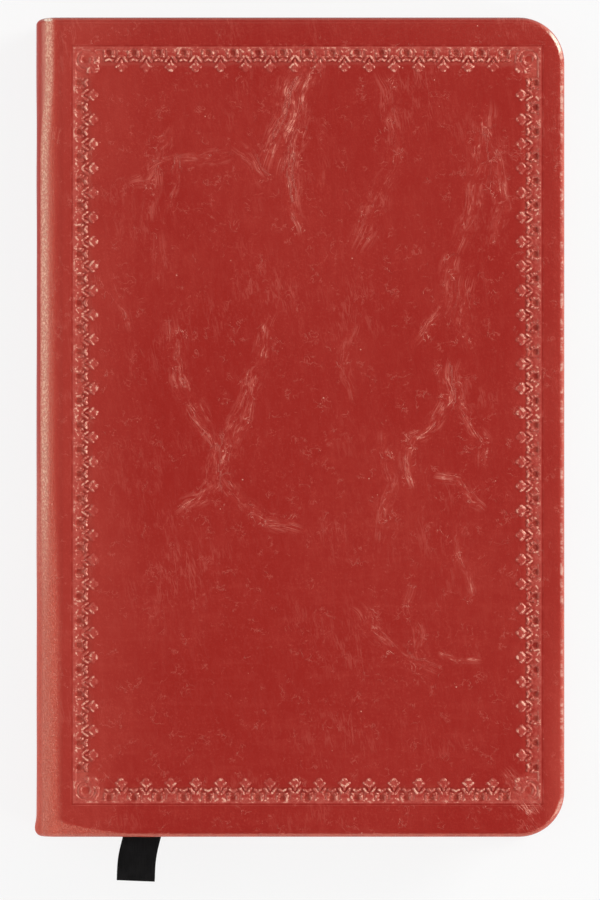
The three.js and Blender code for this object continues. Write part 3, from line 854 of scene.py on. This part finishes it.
def board_material():
    """Greyboard: pressed grey pulp with darker flecks."""
    n = Nodes("greyboard")
    pulp = n.place().noise(0.6, 4, 0.7)
    fleck = n.place((1, 1, 3)).noise(2.2, 3, 0.7)
    colour = n.tint((0.27, 0.25, 0.22), (pulp.fade(0.35, 0.65), (0.36, 0.33, 0.29)),
                    (fleck.fade(0.60, 0.75, 0, 0.6), (0.14, 0.13, 0.12)))
    return n.finish(colour, 0.92, 0.15, pulp * 0.05 + fleck * 0.03)


def kraft_material():
    """Brown kraft paper with fibres along it."""
    n = Nodes("kraft_paper")
    fibre = n.place((1, 0.3, 2.5)).noise(1.6, 4, 0.7)
    patch = n.place().noise(0.2, 2, 0.5)
    colour = n.tint((0.30, 0.19, 0.095), (fibre.fade(0.35, 0.7), (0.42, 0.28, 0.15)),
                    (patch.fade(0.4, 0.7, 0, 0.3), (0.24, 0.15, 0.08)))
    return n.finish(colour, 0.85, 0.2, fibre * 0.03 + patch * 0.02)


def thread_material():
    """Waxed linen thread: slanting strands."""
    n = Nodes("linen_thread")
    place = n.place()
    strand = (place.axis(2) + place.axis(1)).ribs(16.0)
    colour = n.tint((0.62, 0.55, 0.42), (strand.fade(0.1, 0.7), (0.88, 0.83, 0.70)))
    return n.finish(colour, 0.6, 0.35, strand * 0.03 + place.noise(6.0, 2, 0.6) * 0.02)


def headband_material():
    """Woven stripes of black and cream thread."""
    n = Nodes("headband_weave")
    place = n.place()
    z = place.axis(2) + place.noise(1.2) * 0.12
    stripe = abs((z * 0.5).math("FRACT") - 0.5).fade(0.235, 0.265)
    fuzz = place.noise(4.0, 3, 0.7)
    colour = n.tint((0.018, 0.016, 0.016), (stripe, (0.78, 0.71, 0.55)),
                    (fuzz.fade(0.5, 0.8, 0, 0.3), (0.22, 0.19, 0.15)))
    return n.finish(colour, 0.7, 0.3, z.ribs(2 * math.pi) * 0.05 + fuzz * 0.03)


def ribbon_material():
    """Black satin: fine warp along it, crossed by a slight rib."""
    n = Nodes("black_satin_ribbon")
    place = n.place()
    warp = n.place((7.0, 0.30, 1)).noise(1.0, 3, 0.6)
    rib = place.axis(1).ribs(math.pi / 0.30)
    patch = place.noise(0.35, 2, 0.5).fade(0.45, 0.7, 0, 0.4)
    colour = n.tint((0.0040, 0.0036, 0.0038), (warp.fade(0.4, 0.7), (0.0085, 0.0078, 0.0080)),
                    (patch, (0.011, 0.010, 0.0105)))
    return n.finish(colour, warp.fade(0.3, 0.7, 0.50, 0.64), 0.14, warp * 0.02 + rib * 0.012)


def material_of(name, make, *values):
    """One material of each kind, made when it is first asked for."""
    return bpy.data.materials.get(name) or make(name, *values)


def endpaper():
    return material_of("cream_endpaper", paper_material, paper().endpaper, False)


def ruled_page():
    return material_of("ruled_page", paper_material, paper().page, True)


def paint_leather(obj, rub_and_painted_light=None, run=None):
    """Dyes a piece of leather, with its painted highlights and shade; its pattern stays with the
    leather when it bends.
    """
    co = points(obj)
    store(obj, "rest_place", co)
    store(obj, "rub_and_painted_light", np.zeros(len(co)) if rub_and_painted_light is None else rub_and_painted_light)
    store(obj, "crease_run", np.zeros((len(co), 3)) if run is None else run)
    finish_piece(obj, material_of("red_faux_leather", leather_material))


# The covers

COVER_CORNER_STEPS = 16


def cover_wrap(name, low, high, outward):
    """The leather round one board: turned edges, a pocket for the board and turn-ins."""
    look = leather()
    face, back = (high.z, low.z) if outward > 0 else (low.z, high.z)
    wrap = add_box(name, low, high)
    with editing(wrap):
        round_fore_corners(wrap, look.corner, COVER_CORNER_STEPS)
        for level, radius, segments in ((face, look.outer_edge, 6), (back, look.inner_edge, 4)):
            pick(wrap, "EDGE", lambda c: near(c[0].z, level) and near(c[1].z, level)
                 and not (near(c[0].x, low.x) and near(c[1].x, low.x)))
            bevel(radius, segments)
    wall = look.wall
    board_low, board_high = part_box("front_board" if outward > 0 else "back_board")
    board_back = board_low.z if outward > 0 else board_high.z
    bottom, top = sorted((face - outward * wall, board_back))
    pocket = add_box("pocket", (low.x - wall, low.y + wall, bottom),
                     (high.x - wall, high.y - wall, top))
    with editing(pocket):
        round_fore_corners(pocket, look.corner - wall, COVER_CORNER_STEPS)
    carve(wrap, pocket)
    bottom, top = sorted((back - outward * MM, board_back + outward * 0.1 * MM))
    window = add_box("window", (low.x - wall, low.y + look.turn_in, bottom),
                     (high.x - look.turn_in, high.y - look.turn_in, top))
    carve(wrap, window)
    return wrap


SINK = 0.48             # millimetres that a sheet of relief reaches into the cover


def skirt(obj, bottom):
    """Closes a sheet from behind: its rim goes to a level and is filled there."""
    with editing(obj):
        bpy.ops.mesh.select_mode(type="EDGE")
        select_everything()
        bpy.ops.mesh.region_to_loop()
        bpy.ops.mesh.extrude_edges_move()
        bpy.ops.transform.resize(value=(1, 1, 0), center_override=(0, 0, bottom))
        bpy.ops.mesh.edge_face_add()
        face_outwards()


def face_sheet(name, low, high, spacing, body, level, outward, relief):
    """A sheet of a cover's face with the relief that a height field gives it."""
    sheet = add_grid(name, low, high, level, spacing)
    co = points(sheet)
    height, rub_and_painted_light, run = relief(co[:, 0] / MM, co[:, 1] / MM)
    co[:, 2] += outward * height * MM
    place_points(sheet, co)
    skirt(sheet, level - outward * SINK * MM)
    extra = len(sheet.data.vertices) - len(rub_and_painted_light)     # the skirt's points, without rub, painted light or creases
    paint_leather(sheet, np.pad(rub_and_painted_light, (0, extra)), np.pad(run, ((0, extra), (0, 0))))
    smooth(sheet, 60)
    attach(sheet, body)


def recess(wrap, low, high, level, outward):
    """Sinks a place in a cover's face for sheets of relief."""
    bottom, top = sorted((level - outward * (SINK + 0.02) * MM, level + outward * MM))
    carve(wrap, add_box("recess", (*low, bottom), (*high, top)))


class JOURNAL_OT_front_cover(bpy.types.Operator):
    """Wrap the front board in leather, with its turned edges and turn-ins"""

    bl_idname = "journal.front_cover"
    bl_label = "Front Cover"

    def execute(self, context):
        wrap = cover_wrap("front_cover_leather", FRONT_LOW, FRONT_HIGH, 1)
        left, right, bottom, top = frame_sides()
        edge = GROOVE * MM
        recess(wrap, (left - edge, bottom - edge), (right + edge, top + edge), THICKNESS, 1)
        paint_leather(wrap)
        smooth(wrap)
        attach(wrap, "front_cover")
        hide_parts("front_leather")
        return {"FINISHED"}


class JOURNAL_OT_tooled_border(bpy.types.Operator):
    """Press the border of palmettes and arches, and the creased field inside it"""

    bl_idname = "journal.tooled_border"
    bl_label = "Tooled Border"

    def execute(self, context):
        left, right, bottom, top = frame_sides()
        edge, band = GROOVE * MM, BAND * MM
        x0, x1, x2, x3 = left - edge, left + band, right - band, right + edge
        y0, y1, y2, y3 = bottom - edge, bottom + band, top - band, top + edge
        fine, coarse = border().spacing, 0.3 * MM
        for name, low, high, spacing in (
                ("tooled_border_spine_side", (x0, y0), (x1, y3), fine),
                ("tooled_border_fore_edge", (x2, y0), (x3, y3), fine),
                ("tooled_border_tail", (x1, y0), (x2, y1), fine),
                ("tooled_border_head", (x1, y2), (x2, y3), fine),
                ("cover_field", (x1, y1), (x2, y2), coarse)):
            face_sheet(name, low, high, spacing, "front_cover", THICKNESS, 1, cover_height)
        return {"FINISHED"}


BACK_MARGIN = 4.0       # millimetres round the back cover's sheet of relief


def back_height(x, y):
    """Height, rub and creases of the plain back cover's face."""
    low_x, high_x = BOARD_EDGE / MM, FORE_EDGE / MM - BACK_MARGIN
    end = COVER_END / MM - BACK_MARGIN
    v = np.minimum(np.minimum(x - low_x, high_x - x), end - np.abs(y))
    run = crease_run(2 - x, -0.9 * y)
    run[:, 2] *= 0.7 * ramp(v, 0, 5)
    swell = 0.04 * hills(x, y, 23, 31) + 0.03 * hills(x, y, 8, 32) - 0.07
    ridge = 1 - np.abs(hills(run[:, 0], 4 * run[:, 1], 4.0, 33))
    return ramp(v, 0, 5) * (swell + 0.04 * run[:, 2] * ridge ** 3), np.zeros(x.shape), run


class JOURNAL_OT_back_cover(bpy.types.Operator):
    """Wrap the back board in plain leather, with a few creases"""

    bl_idname = "journal.back_cover"
    bl_label = "Back Cover"

    def execute(self, context):
        wrap = cover_wrap("back_cover_leather", BACK_LOW, BACK_HIGH, -1)
        low = (BOARD_EDGE + 0.5 * MM, -COVER_END + BACK_MARGIN * MM)
        high = (FORE_EDGE - BACK_MARGIN * MM, COVER_END - BACK_MARGIN * MM)
        recess(wrap, low, high, BACK_LOW.z, -1)
        paint_leather(wrap)
        smooth(wrap)
        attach(wrap, "back_cover")
        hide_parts("back_leather")
        face_sheet("back_cover_field", low, high, 0.6 * MM, "back_cover", BACK_LOW.z, -1,
                   back_height)
        return {"FINISHED"}


# The spine and the joints

def spine_end(y):
    """How far the spine's edge draws in near its ends: round at the head, flared at the tail."""
    look = leather()
    inset = np.zeros(y.shape)
    for side, radius in ((1, look.head_cap), (-1, look.tail_cap)):
        over = np.clip(side * y - (COVER_END - radius), 0, radius)
        inset += radius - np.sqrt(np.maximum(radius ** 2 - over ** 2, 0))
    flare, middle, width = 0.3 * MM, 1.4 * MM - COVER_END, 1.3 * MM
    return inset - flare * np.exp(-((y - middle) / width) ** 2)


def shoulder_sizes():
    """Width of the shoulder's curve, the flat before it, its depth and its length a radian."""
    wide = leather().shoulder
    reach = THICKNESS - SPINE_HIGH.z
    return wide, BOARD_EDGE - SPINE_OUTER + leather().swell - wide, reach, (wide + reach) / 2


def shoulder_course(s, y):
    """Place and facing of the leather a length s from the board's edge to the spine."""
    wide, flat, reach, turn = shoulder_sizes()
    angle = np.clip((s - flat) / turn, 0, math.pi / 2)
    sine, cosine = np.sin(angle), np.cos(angle)
    groove_width = 1.8 * MM
    groove = leather().groove * np.sin(math.pi * np.clip(s / groove_width, 0, 1)) ** 2
    worn = 0.05 * MM * hills(y / MM, s / MM, 7, 41) + 0.03 * MM * hills(y / MM, s / MM, 2.2, 42)
    sunk = groove + worn * ramp(s, flat, flat + turn) * ramp(angle, 1.57, 1.3)
    steep = np.hypot(reach * sine, wide * cosine)
    facing_x, facing_z = -reach * sine / steep, wide * cosine / steep
    x = BOARD_EDGE - np.minimum(s, flat) - wide * sine - sunk * facing_x
    return x, reach * (1 - cosine) + sunk * facing_z, facing_x, facing_z


def end_turn(t, turn, inside):
    """Where a length t along the spine lies, and how deep it is, if its ends are turned in."""
    radius = leather().outer_edge
    past = np.abs(t) - (COVER_END - radius)
    over = np.clip(past / radius, 0, turn)
    back = np.clip(past - radius * turn, 0, inside)
    y = np.sign(t) * (np.minimum(np.abs(t), COVER_END - radius) + radius * np.sin(over) - back)
    return y, radius * (1 - np.cos(over))


def end_reach(turn, inside):
    radius = leather().outer_edge
    return COVER_END - radius + radius * turn + inside


def thicken(sheet, outward_x, outward_z):
    """Gives a bent sheet of leather its wall, inwards from its outer face."""
    with editing(sheet):
        face_outwards()
    facing = sum(outward_x * p.normal.x + outward_z * p.normal.z for p in sheet.data.polygons)
    modify(sheet, "SOLIDIFY", thickness=leather().wall, offset=-1 if facing > 0 else 1,
           use_even_offset=True)
    with editing(sheet):
        face_outwards()


def joint_skin(node, cover, outward):
    """The soft leather of one joint, from the board's edge over the shoulder to the spine."""
    look = leather()
    _, flat, _, turn = shoulder_sizes()
    length = flat + turn * math.pi / 2
    end = end_reach(math.pi, look.turn_in)
    skin = add_grid(cover.replace("cover", "joint_skin"), (0, -end), (length, end), 0, 0.3 * MM)
    s, t, _ = points(skin).T
    y, inset = end_turn(t, math.pi, look.turn_in)
    x, depth, facing_x, facing_z = shoulder_course(s, y)
    x = x - inset * facing_x + spine_end(y) * ramp(s, 0.1 * MM, flat + turn)
    depth = depth + inset * facing_z
    z = THICKNESS - depth if outward > 0 else depth
    place_points(skin, np.stack((x, y, z), axis=1))
    thicken(skin, -1, outward)
    paint_leather(skin)
    smooth(skin)
    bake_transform(skin)
    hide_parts(node)


class JOURNAL_OT_spine_and_joints(bpy.types.Operator):
    """Lay the leather over the spine and the two soft joints"""

    bl_idname = "journal.spine_and_joints"
    bl_label = "Spine and Joints"

    def execute(self, context):
        joint_skin("front_joint_leather", "front_cover", 1)
        joint_skin("back_joint_leather", "back_cover", -1)
        end = end_reach(math.pi / 2, 0)
        panel = add_grid("spine_panel", (SPINE_LOW.z, -end), (SPINE_HIGH.z, end), 0, 0.4 * MM)
        z, t, _ = points(panel).T
        y, inset = end_turn(t, math.pi / 2, 0)
        middle = ramp(np.minimum(z - SPINE_LOW.z, SPINE_HIGH.z - z), 0, 2 * MM)
        bulge = 0.05 * MM * (2 + hills(y / MM, z / MM, 9, 43)) * middle
        x = SPINE_OUTER - leather().swell + inset + spine_end(y) - bulge
        place_points(panel, np.stack((x, y, z), axis=1))
        thicken(panel, -1, 0)
        paint_leather(panel)
        smooth(panel)
        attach(panel, "text_block")
        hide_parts("spine_leather")
        thin, inner, outer = 0.2 * MM, COVER_END - 13 * MM, COVER_END - 0.6 * MM
        for side, name in ((1, "spine_turn_in_head"), (-1, "spine_turn_in_tail")):
            start, end = sorted((side * inner, side * outer))
            flap = add_box(name, (SPINE_HIGH.x - thin, start, SPINE_LOW.z),
                           (SPINE_HIGH.x, end, SPINE_HIGH.z))
            with editing(flap):
                select_everything()
                bevel(0.06 * MM, 2)
            paint_leather(flap)
            smooth(flap)
            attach(flap, "text_block")
        return {"FINISHED"}


# The paper

PAGE_CORNER_STEPS = 8
BEND_STEPS = 12
FOLD_STEPS = 6
CLEAR = 6 * MM          # kept clear of cuts beside the bend and at the round corners
CUT_ALONG = 9 * MM      # from one cut to the next, away from the spine
CUT_ACROSS = 12 * MM    # from one cut to the next, up the page


def paper_sheet(name, low, high, bend_from, bend_to):
    """A sheet with round fore corners, cut finely where it bends and coarsely elsewhere."""
    sheet = add_box(name, low, high)
    with editing(sheet):
        round_fore_corners(sheet, paper().corner, PAGE_CORNER_STEPS)
        for step in range(BEND_STEPS + 1):
            cut((bend_from + (bend_to - bend_from) * step / BEND_STEPS, 0, 0), (1, 0, 0))
        for x in np.arange(bend_to + CLEAR, high[0] - CLEAR, CUT_ALONG):
            cut((x, 0, 0), (1, 0, 0))
        for y in np.arange(-54 * MM, 55 * MM, CUT_ACROSS):
            cut((0, y, 0), (0, 1, 0))
    return sheet


def lay_sheet(sheet, material):
    """Finishes a sheet beside the text block: its rest place, material, smooth shading, and its
    place baked into its mesh.
    """
    store(sheet, "rest_place", points(sheet))
    finish_piece(sheet, material)
    smooth(sheet)
    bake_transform(sheet)


class JOURNAL_OT_endpapers(bpy.types.Operator):
    """Paste the endpapers on the boards, over the joints, and hang their free leaves"""

    bl_idname = "journal.endpapers"
    bl_label = "Endpapers"

    def execute(self, context):
        fold, sheet_end = PAGE_LOW.x, PAGE_LOW.x + paper().bend
        paste = 0.15 * MM
        for side, outward in (("front", 1), ("back", -1)):
            low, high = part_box(f"{side}_pastedown")
            inner, outer = (low.z, low.z + paste) if outward > 0 else (high.z - paste, high.z)
            sheet = paper_sheet(f"{side}_endpaper_pasted", (fold, low.y, inner),
                                (high.x, high.y, outer), fold, BOARD_EDGE)
            lay_sheet(sheet, endpaper())
            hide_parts(f"{side}_pastedown")
            low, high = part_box(f"{side}_flyleaf")
            leaf = paper_sheet(f"{side}_endpaper_leaf", low, high, fold, sheet_end)
            lay_sheet(leaf, endpaper())
            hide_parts(f"{side}_flyleaf")
        return {"FINISHED"}


class JOURNAL_OT_turning_leaves(bpy.types.Operator):
    """Lay a ruled page in the place of each of the first gathering's leaves"""

    bl_idname = "journal.turning_leaves"
    bl_label = "Turning Leaves"

    def execute(self, context):
        names = sorted(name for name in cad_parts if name.startswith("leaf_"))
        low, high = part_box(names[0])
        fold, bend = low.x, paper().bend
        model = paper_sheet("leaf_model", low, high, fold, fold + bend)
        for name in names:
            shift = (0, 0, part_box(name)[0].z - low.z)
            leaf = copy_of(model, name.replace("leaf", "page"), shift)
            lay_sheet(leaf, ruled_page())
            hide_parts(name)
        bpy.data.meshes.remove(model.data)
        return {"FINISHED"}


def folded_sheet(name, fold, fore, end, middle, radius, thickness):
    """One sheet folded at the spine: its upper leaf, the fold spun round, its lower leaf."""
    sheet = add_box(name, (fold, -end, middle + radius - thickness / 2),
                    (fore, end, middle + radius + thickness / 2))
    with editing(sheet):
        pick(sheet, "FACE", lambda c: all(near(v.x, fold) for v in c))
        bpy.ops.mesh.spin(steps=FOLD_STEPS, angle=math.pi, center=(fold, 0, middle),
                          axis=(0, -1, 0))
        bpy.ops.mesh.extrude_region_move(TRANSFORM_OT_translate={"value": (fore - fold, 0, 0)})
        round_fore_corners(sheet, paper().corner, PAGE_CORNER_STEPS)
    return sheet


class JOURNAL_OT_gatherings(bpy.types.Operator):
    """Fold the sheets of the sewn gatherings"""

    bl_idname = "journal.gatherings"
    bl_label = "Gatherings"

    def execute(self, context):
        names = sorted(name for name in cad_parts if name.startswith("gathering_"))
        low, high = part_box(names[0])
        sheets = 4
        pitch = (high.z - low.z) / (2 * sheets)
        middle = (low.z + high.z) / 2
        fold = low.x + sheets * pitch
        model = join("gathering_model", [
            folded_sheet(f"sheet_{index}", fold, high.x, high.y, middle, (index + 0.5) * pitch,
                         paper().fibre) for index in range(sheets)])
        for index, name in enumerate(names):
            piece = copy_of(model, name.replace("gathering", "sewn_gathering"),
                            (0, 0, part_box(name)[0].z - low.z))
            co = points(piece)
            trimmed = 0.05 * MM * (1 + math.sin(2.4 * index))
            co[:, 0] -= trimmed * (co[:, 0] > high.x - CLEAR)
            place_points(piece, co)
            store(piece, "rest_place", co)
            finish_piece(piece, ruled_page())
            smooth(piece)
            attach(piece, "text_block")
            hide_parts(name)
        bpy.data.meshes.remove(model.data)
        return {"FINISHED"}


# Sewing, linings and bands

class JOURNAL_OT_linings(bpy.types.Operator):
    """Finish the boards, cloth, kraft lining and thread that the frame already shapes"""

    bl_idname = "journal.linings"
    bl_label = "Boards, Linings and Thread"

    def execute(self, context):
        for material, names in (
                (board_material(), ("front_board", "back_board", "spine_strip")),
                (mull_material(), ("front_mull_flap", "back_mull_flap", "mull")),
                (kraft_material(), ("spine_lining",)),
                (thread_material(), [f"stitch_row_{row}" for row in range(1, 5)])):
            for name in names:
                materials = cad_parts[name].data.materials
                materials.clear()
                materials.append(material)
        return {"FINISHED"}


class JOURNAL_OT_headbands(bpy.types.Operator):
    """Wind the striped bands at the ends of the block"""

    bl_idname = "journal.headbands"
    bl_label = "Headbands"

    def execute(self, context):
        weave = headband_material()
        threads, cuts = 19, 6 * 19
        core = 0.94
        for node, name in (("headband", "headband_weave"), ("tailband", "tailband_weave")):
            low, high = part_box(node)
            centre, size = (low + high) / 2, high - low
            deselect()
            bpy.ops.mesh.primitive_cylinder_add(vertices=20, radius=0.5, depth=1, location=centre)
            bpy.context.object.scale = (core * size.x, core * size.y, size.z)
            band = settle(name)
            with editing(band):
                for step in range(1, cuts):
                    cut((0, 0, low.z + size.z * step / cuts), (0, 0, 1))
            co = points(band)
            share = (co[:, 2] - low.z) / size.z
            wound = core + 0.10 * np.abs(np.sin(math.pi * threads * share))
            wound *= 1 - 0.35 * ramp(np.abs(share - 0.5), 0.47, 0.5)
            for axis in (0, 1):
                co[:, axis] = centre[axis] + (co[:, axis] - centre[axis]) * wound
            place_points(band, co)
            finish_piece(band, weave)
            smooth(band, 60)
            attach(band, "text_block")
            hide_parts(node)
        return {"FINISHED"}


class JOURNAL_OT_ribbon(bpy.types.Operator):
    """Lay the ribbon marker along its course through the block"""

    bl_idname = "journal.ribbon"
    bl_label = "Ribbon Marker"

    def execute(self, context):
        ribbon = copy_of(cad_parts["ribbon_marker"], "satin_ribbon")
        with editing(ribbon):
            select_everything()
            bpy.ops.mesh.customdata_custom_splitnormals_clear()
            bpy.ops.mesh.remove_doubles(threshold=0.001 * MM)
            bpy.ops.mesh.tris_convert_to_quads()
            bpy.ops.mesh.subdivide(number_cuts=2, smoothness=0.0)
            face_outwards()
        # The tail curves a little, and its end is cut at a slant
        half_width, length, bow, slant = 3.25 * MM, 7.6 * MM, 0.32 * MM, 0.35 * MM
        co = points(ribbon)
        tail = -COVER_END - co[:, 1]
        middle, drift = -27.2 * MM, 0.129
        across = np.clip((co[:, 0] - middle + drift * tail) / half_width, -1, 1)
        co[:, 0] -= bow * np.sin(math.pi * np.clip(tail / length, 0, 1))
        co[:, 1] -= slant * (1 - across) * ramp(tail, 3.5 * MM, 6.4 * MM)
        place_points(ribbon, co)
        finish_piece(ribbon, ribbon_material())
        smooth(ribbon, 50)
        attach(ribbon, "text_block")
        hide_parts("ribbon_marker")
        return {"FINISHED"}


# The stage

def lamp(name, azimuth, elevation, size, brightness):
    """A soft panel a metre from the cover; at a brightness of 1 it looks white."""
    light = bpy.data.lights.new(name, "AREA")
    light.shape = "RECTANGLE"
    light.size, light.size_y = size
    light.energy = brightness * math.pi * size[0] * size[1]
    obj = bpy.data.objects.new(name, light)
    bpy.context.scene.collection.objects.link(obj)
    turn, rise = math.radians(azimuth), math.radians(elevation)
    flat = math.cos(rise)
    away = Vector((math.cos(turn) * flat, math.sin(turn) * flat, math.sin(rise)))
    obj.location = away + Vector((0, 0, THICKNESS))
    obj.rotation_euler = (-away).to_track_quat("-Z", "Y").to_euler()
    obj.visible_camera = False


class JOURNAL_OT_stage(bpy.types.Operator):
    """Set the camera, the pale floor and the soft lamps"""

    bl_idname = "journal.stage"
    bl_label = "Stage"

    def execute(self, context):
        scene = context.scene
        studio = scene.journal_studio
        scene.view_settings.view_transform = "Standard"
        camera = bpy.data.cameras.new("camera")
        camera.lens = studio.lens
        camera.sensor_width = 36
        camera.clip_end = 100
        distance = studio.view_height * camera.lens / camera.sensor_width
        holder = bpy.data.objects.new("camera", camera)
        scene.collection.objects.link(holder)
        holder.location = (*studio.view_centre, THICKNESS + distance)
        scene.camera = holder
        self.lay_floor(studio)
        self.light_world(scene, studio)
        lamp("left_panel", 180, 26, (1.0, 0.80), 1.9)
        lamp("upper_right_panel", 30, 27, (0.40, 0.34), 15.0)
        lamp("lower_right_panel", -35, 27, (0.28, 0.28), 10.0)
        lamp("tail_panel", -90, 17, (0.8, 0.40), 1.5)
        lamp("high_panel", 100, 62, (0.70, 0.35), 0.5)
        return {"FINISHED"}

    def lay_floor(self, studio):
        deselect()
        bpy.ops.mesh.primitive_plane_add(size=12, location=(0, 0, -0.02 * MM))
        floor = bpy.context.object
        floor.name = "floor"
        n = Nodes("pale_floor")
        floor.data.materials.append(n.finish((0.80, 0.80, 0.80, 1), 0.9, 0.1))
        glow = n.add("Emission", 0, {"Color": (*studio.backdrop, 1)})
        n.show(0.84, n.shader.outputs[0], glow, "Material Output")

    def light_world(self, scene, studio):
        """An even fill; what looks or reflects sees pale walls under a dark overhead."""
        n = Nodes("world", "worlds")
        scene.world = n.owner
        fill = n.tree.nodes["Background"]
        fill.inputs["Color"].default_value = (1, 1, 1, 1)
        fill.inputs["Strength"].default_value = studio.fill
        rise = n.add("TexCoord", "Generated").axis(2).fade(0.10, 0.60)
        walls = n.tint(studio.backdrop, (rise, studio.overhead))
        seen = n.add("Background", 0, {"Color": walls})
        n.show(1.0, fill.outputs[0], seen, "World Output")


class JOURNAL_PT_panel(bpy.types.Panel):
    """Lists the journal's settings and the steps that build it"""

    bl_label = "Journal"
    bl_idname = "JOURNAL_PT_panel"
    bl_space_type = "VIEW_3D"
    bl_region_type = "UI"
    bl_category = "Journal"

    def draw(self, context):
        for name, group in SETTINGS:
            box = self.layout.box()
            for key in group.__annotations__:
                box.prop(getattr(context.scene, name), key)
        for step in STEPS:
            self.layout.operator(step.bl_idname)


SETTINGS = (
    ("journal_leather", LeatherSettings),
    ("journal_border", BorderSettings),
    ("journal_paper", PaperSettings),
    ("journal_studio", StudioSettings),
)

STEPS = (
    JOURNAL_OT_stage,
    JOURNAL_OT_front_cover,
    JOURNAL_OT_tooled_border,
    JOURNAL_OT_spine_and_joints,
    JOURNAL_OT_back_cover,
    JOURNAL_OT_endpapers,
    JOURNAL_OT_turning_leaves,
    JOURNAL_OT_gatherings,
    JOURNAL_OT_linings,
    JOURNAL_OT_headbands,
    JOURNAL_OT_ribbon,
)


def register():
    for name, group in SETTINGS:
        bpy.utils.register_class(group)
        setattr(bpy.types.Scene, name, bpy.props.PointerProperty(type=group))
    for step in STEPS:
        bpy.utils.register_class(step)
    bpy.utils.register_class(JOURNAL_PT_panel)


def unregister():
    bpy.utils.unregister_class(JOURNAL_PT_panel)
    for step in reversed(STEPS):
        bpy.utils.unregister_class(step)
    for name, group in SETTINGS:
        delattr(bpy.types.Scene, name)
        bpy.utils.unregister_class(group)


def main():
    register()
    for step in STEPS:
        family, action = step.bl_idname.split(".")
        getattr(getattr(bpy.ops, family), action)()


if __name__ == "__main__":
    main()
